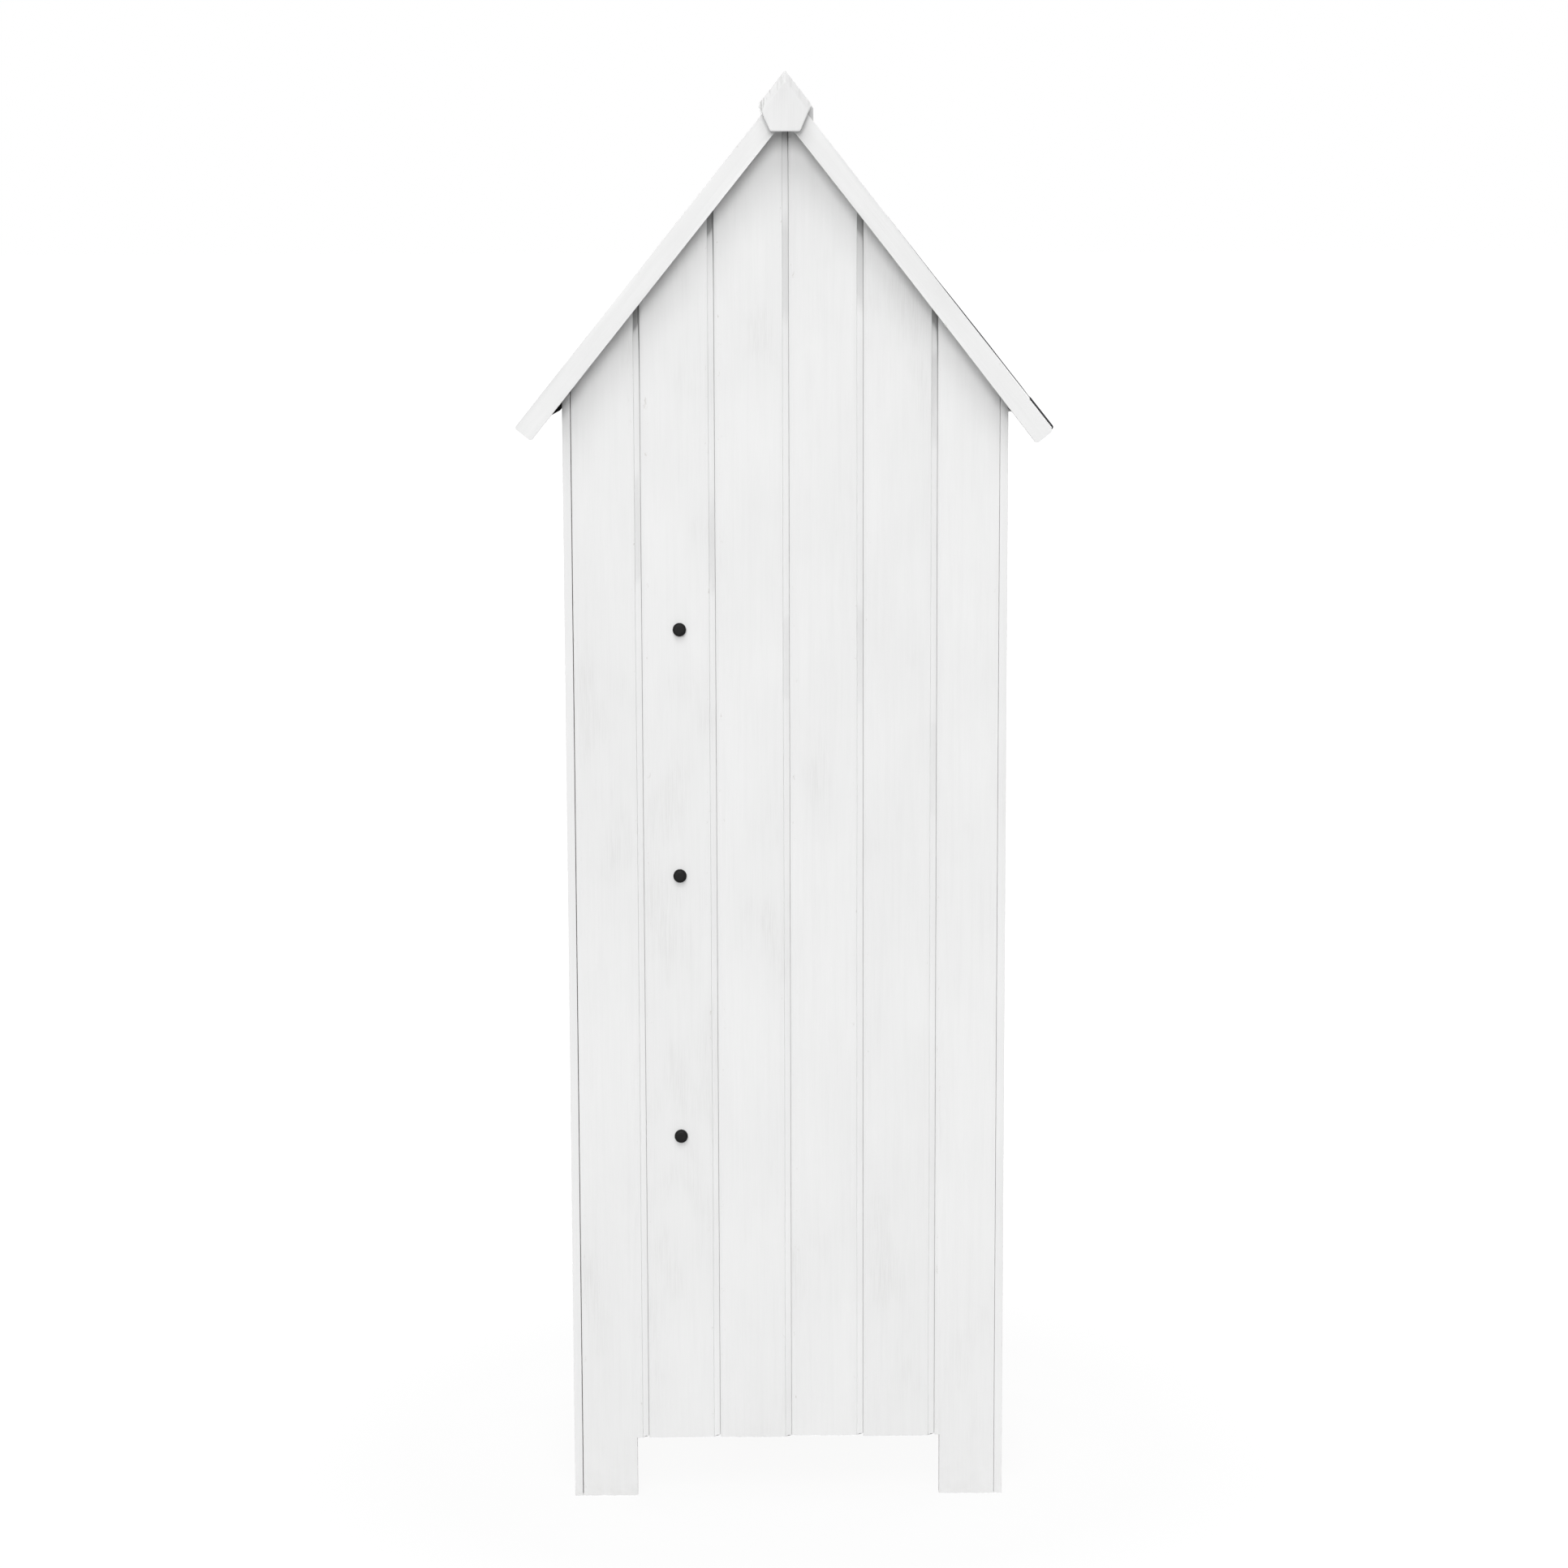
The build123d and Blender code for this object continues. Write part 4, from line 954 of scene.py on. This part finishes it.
def screws(name, centres, seat, length, outward, nodes, body):
    """Screws with their heads on a seat: a shank, a rim, and a dome whose height has a cross sunk in it.

    The point at (ring i, angle a) is centre + radius(i) * (cos a, sin a), at the height
    dome(radius) - recess(radius, a), where the recess is deep within the width of either arm.
    """
    dome_radius = np.linspace(0.0031, 0.0002, 14)
    dome = rim_rise + dome_rise * np.sqrt(1 - np.linspace(0.96, 0.0, 14) ** 2)
    radius = np.concatenate(([0.0002, shank_radius, shank_radius, head_radius, head_radius], dome_radius))
    height = np.concatenate(([-length, -length + 0.002, 0.0, 0.0, rim_rise], dome))[:, None]
    angle = np.linspace(0, 2 * math.pi, 64, endpoint=False) + 0.05
    turn = draw.uniform(0, math.pi / 2, len(centres))[:, None, None]
    across = radius[:, None] * np.cos(angle)
    up = radius[:, None] * np.sin(angle)
    arm = np.minimum(np.abs(across), np.abs(up))
    recess = (arm < recess_half) * (radius[:, None] < recess_reach) * (height > 0.0004)
    points = np.empty((len(centres), len(radius), len(angle), 3))
    points[..., 0] = centres[:, 0, None, None] + across * np.cos(turn) - up * np.sin(turn)
    points[..., 1] = seat + outward * (height - recess_depth * recess)
    points[..., 2] = centres[:, 1, None, None] + across * np.sin(turn) + up * np.cos(turn)
    one = np.array(tube_faces(len(radius), len(angle)))
    shift = (np.arange(len(centres)) * len(radius) * len(angle))[:, None, None]
    faces = (one + shift).reshape(-1, 4).tolist()
    for start in (0, (len(radius) - 1) * len(angle)):
        faces += (np.arange(len(angle)) + start + shift[:, :, 0]).tolist()
    return build(name, points, faces, black, body, nodes, (0, 1, 0), sharp=25)


def screw_places(node):
    """X and Z of the middle of each screw head that faces the front in a node."""
    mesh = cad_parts[node].data
    points = np.empty(len(mesh.vertices) * 3)
    mesh.vertices.foreach_get("co", points)
    points = points.reshape(-1, 3)
    front = points[points[:, 1] < points[:, 1].min() + 0.0001][:, [0, 2]]
    near = np.linalg.norm(front[:, None] - front, axis=2) < 0.008
    return np.unique(np.round((near @ front) / near.sum(1)[:, None], 5), axis=0)


plate_seat = -0.222
plate_screw, knob_screw = 0.013, 0.022
screws("knob_screw", np.array([(knob_x, knob_z)]), ledge_low.y, knob_screw, 1, (), "door")
for word, body in (("door", "door"), ("frame", "shed")):
    node = f"{word}_screws"
    screws(f"{word}_fitting_screws", screw_places(node), plate_seat, plate_screw, -1, (node,), body)


# Studio. A pale floor, which keeps the shed's shadow and fades to plain white, a soft even sky, a
# level and a high lamp behind the camera, three that light the front and the sides, and the camera.
def looked_at(tree):
    """1 on rays from the camera, also by way of glass or a shine, and 0 on those that only carry light."""
    rays = tree.nodes.new("ShaderNodeLightPath").outputs
    seen = worked(tree, "MAXIMUM", rays["Is Camera Ray"], rays["Is Glossy Ray"])
    return worked(tree, "MAXIMUM", seen, rays["Is Transmission Ray"])


def mixed(tree, share, first, second, end):
    """Two shaders mixed by a share and sent to the end node."""
    both = tree.nodes.new("ShaderNodeMixShader")
    fill(tree, both, {"Fac": share, 1: first, 2: second})
    fill(tree, tree.nodes[end], {"Surface": both.outputs["Shader"]})


def floor_finish():
    """A matt floor that keeps a pale shadow; from 0.5 to 1.5 m away it turns into plain white."""
    material, tree, shader, where = blank("studio_floor")
    grey = (0.34, 0.34, 0.34, 1.0)
    fill(tree, shader, {"Base Color": grey, "Roughness": 0.95, "Specular IOR Level": 0.0})
    length = tree.nodes.new("ShaderNodeVectorMath")
    length.operation = "LENGTH"
    fill(tree, length, {0: where})
    away = tree.nodes.new("ShaderNodeMapRange")
    fill(tree, away, {"Value": length.outputs["Value"], "From Min": 0.5, "From Max": 1.5, "To Min": 0.85})
    share = worked(tree, "MULTIPLY", looked_at(tree), away.outputs["Result"])
    white = tree.nodes.new("ShaderNodeEmission")
    fill(tree, white, {"Strength": 1.1})
    mixed(tree, share, shader.outputs["BSDF"], white.outputs["Emission"], "Material Output")
    return material


floor_half = 60.0
floor_corners = [(x * floor_half, y * floor_half, 0) for x, y in ((-1, -1), (1, -1), (1, 1), (-1, 1))]
floor_mesh = bpy.data.meshes.new("studio_floor")
floor_mesh.from_pydata(floor_corners, [], [(0, 1, 2, 3)])
floor_mesh.materials.append(floor_finish())
floor = shown("studio_floor", floor_mesh)

sky_strength = 0.26
world = bpy.data.worlds.new("studio")
bpy.context.scene.world = world
world.use_nodes = True
tree = world.node_tree
sky, backdrop = tree.nodes["Background"], tree.nodes.new("ShaderNodeBackground")
fill(tree, sky, {"Color": (1.0, 1.0, 1.0, 1.0), "Strength": sky_strength})
fill(tree, backdrop, {"Color": (1.0, 1.0, 1.0, 1.0), "Strength": 1.0})
mixed(tree, looked_at(tree), sky.outputs["Background"], backdrop.outputs["Background"], "World Output")


def placed(axes, place):
    """The matrix that turns an object's axes into these columns and puts it in a place."""
    return Matrix([(*row, p) for row, p in zip(axes, place)] + [(0, 0, 0, 1)])


def lamp(name, way, strength, breadth):
    """A lamp as far off as the sun, with the direction that it shines from and its breadth in degrees."""
    data = bpy.data.lights.new(name, "SUN")
    data.energy = strength
    data.angle = math.radians(breadth)
    away = np.array(way, float) / np.linalg.norm(way)
    side = np.cross((0.0, 0.0, 1.0), away)
    side /= np.linalg.norm(side)
    shown(name, data).matrix_world = placed(np.stack((side, np.cross(away, side), away), 1), away * 6)


lamp("back_level_lamp", (0.06, 1, 0.25), 1.46, 22.0)
lamp("back_high_lamp", (0.1, 1, 1.25), 1.36, 40.0)
lamp("front_high_lamp", (-0.1, -1, 1.25), 0.6, 40.0)
lamp("front_right_lamp", (1, -0.8, 0.25), 1.4, 25.0)
lamp("front_left_lamp", (-1, -0.8, 0.25), 1.4, 25.0)

camera_place = (0.0547, 4.920, 1.7048)
photo_width, focal_length = 1932, 4708.3  # in pixels of the photo
yaw, dip, roll = (math.radians(angle) for angle in (0.630, 9.408, 0.177))
right = np.array((-math.cos(yaw), math.sin(yaw), 0.0))
ahead = np.array((-math.sin(yaw), -math.cos(yaw), 0.0))
up = np.array((0.0, 0.0, 1.0))
forward = math.cos(dip) * ahead - math.sin(dip) * up
raised = math.sin(dip) * ahead + math.cos(dip) * up
picture_right = math.cos(roll) * right - math.sin(roll) * raised
picture_up = math.sin(roll) * right + math.cos(roll) * raised
camera_data = bpy.data.cameras.new("camera")
camera_data.sensor_width = 36.0
camera_data.lens = camera_data.sensor_width * focal_length / photo_width
camera_data.clip_end = 200.0
camera = shown("camera", camera_data)
camera.matrix_world = placed(np.stack((picture_right, picture_up, -forward), 1), camera_place)
bpy.context.scene.camera = camera
bpy.context.scene.view_settings.view_transform = "Standard"
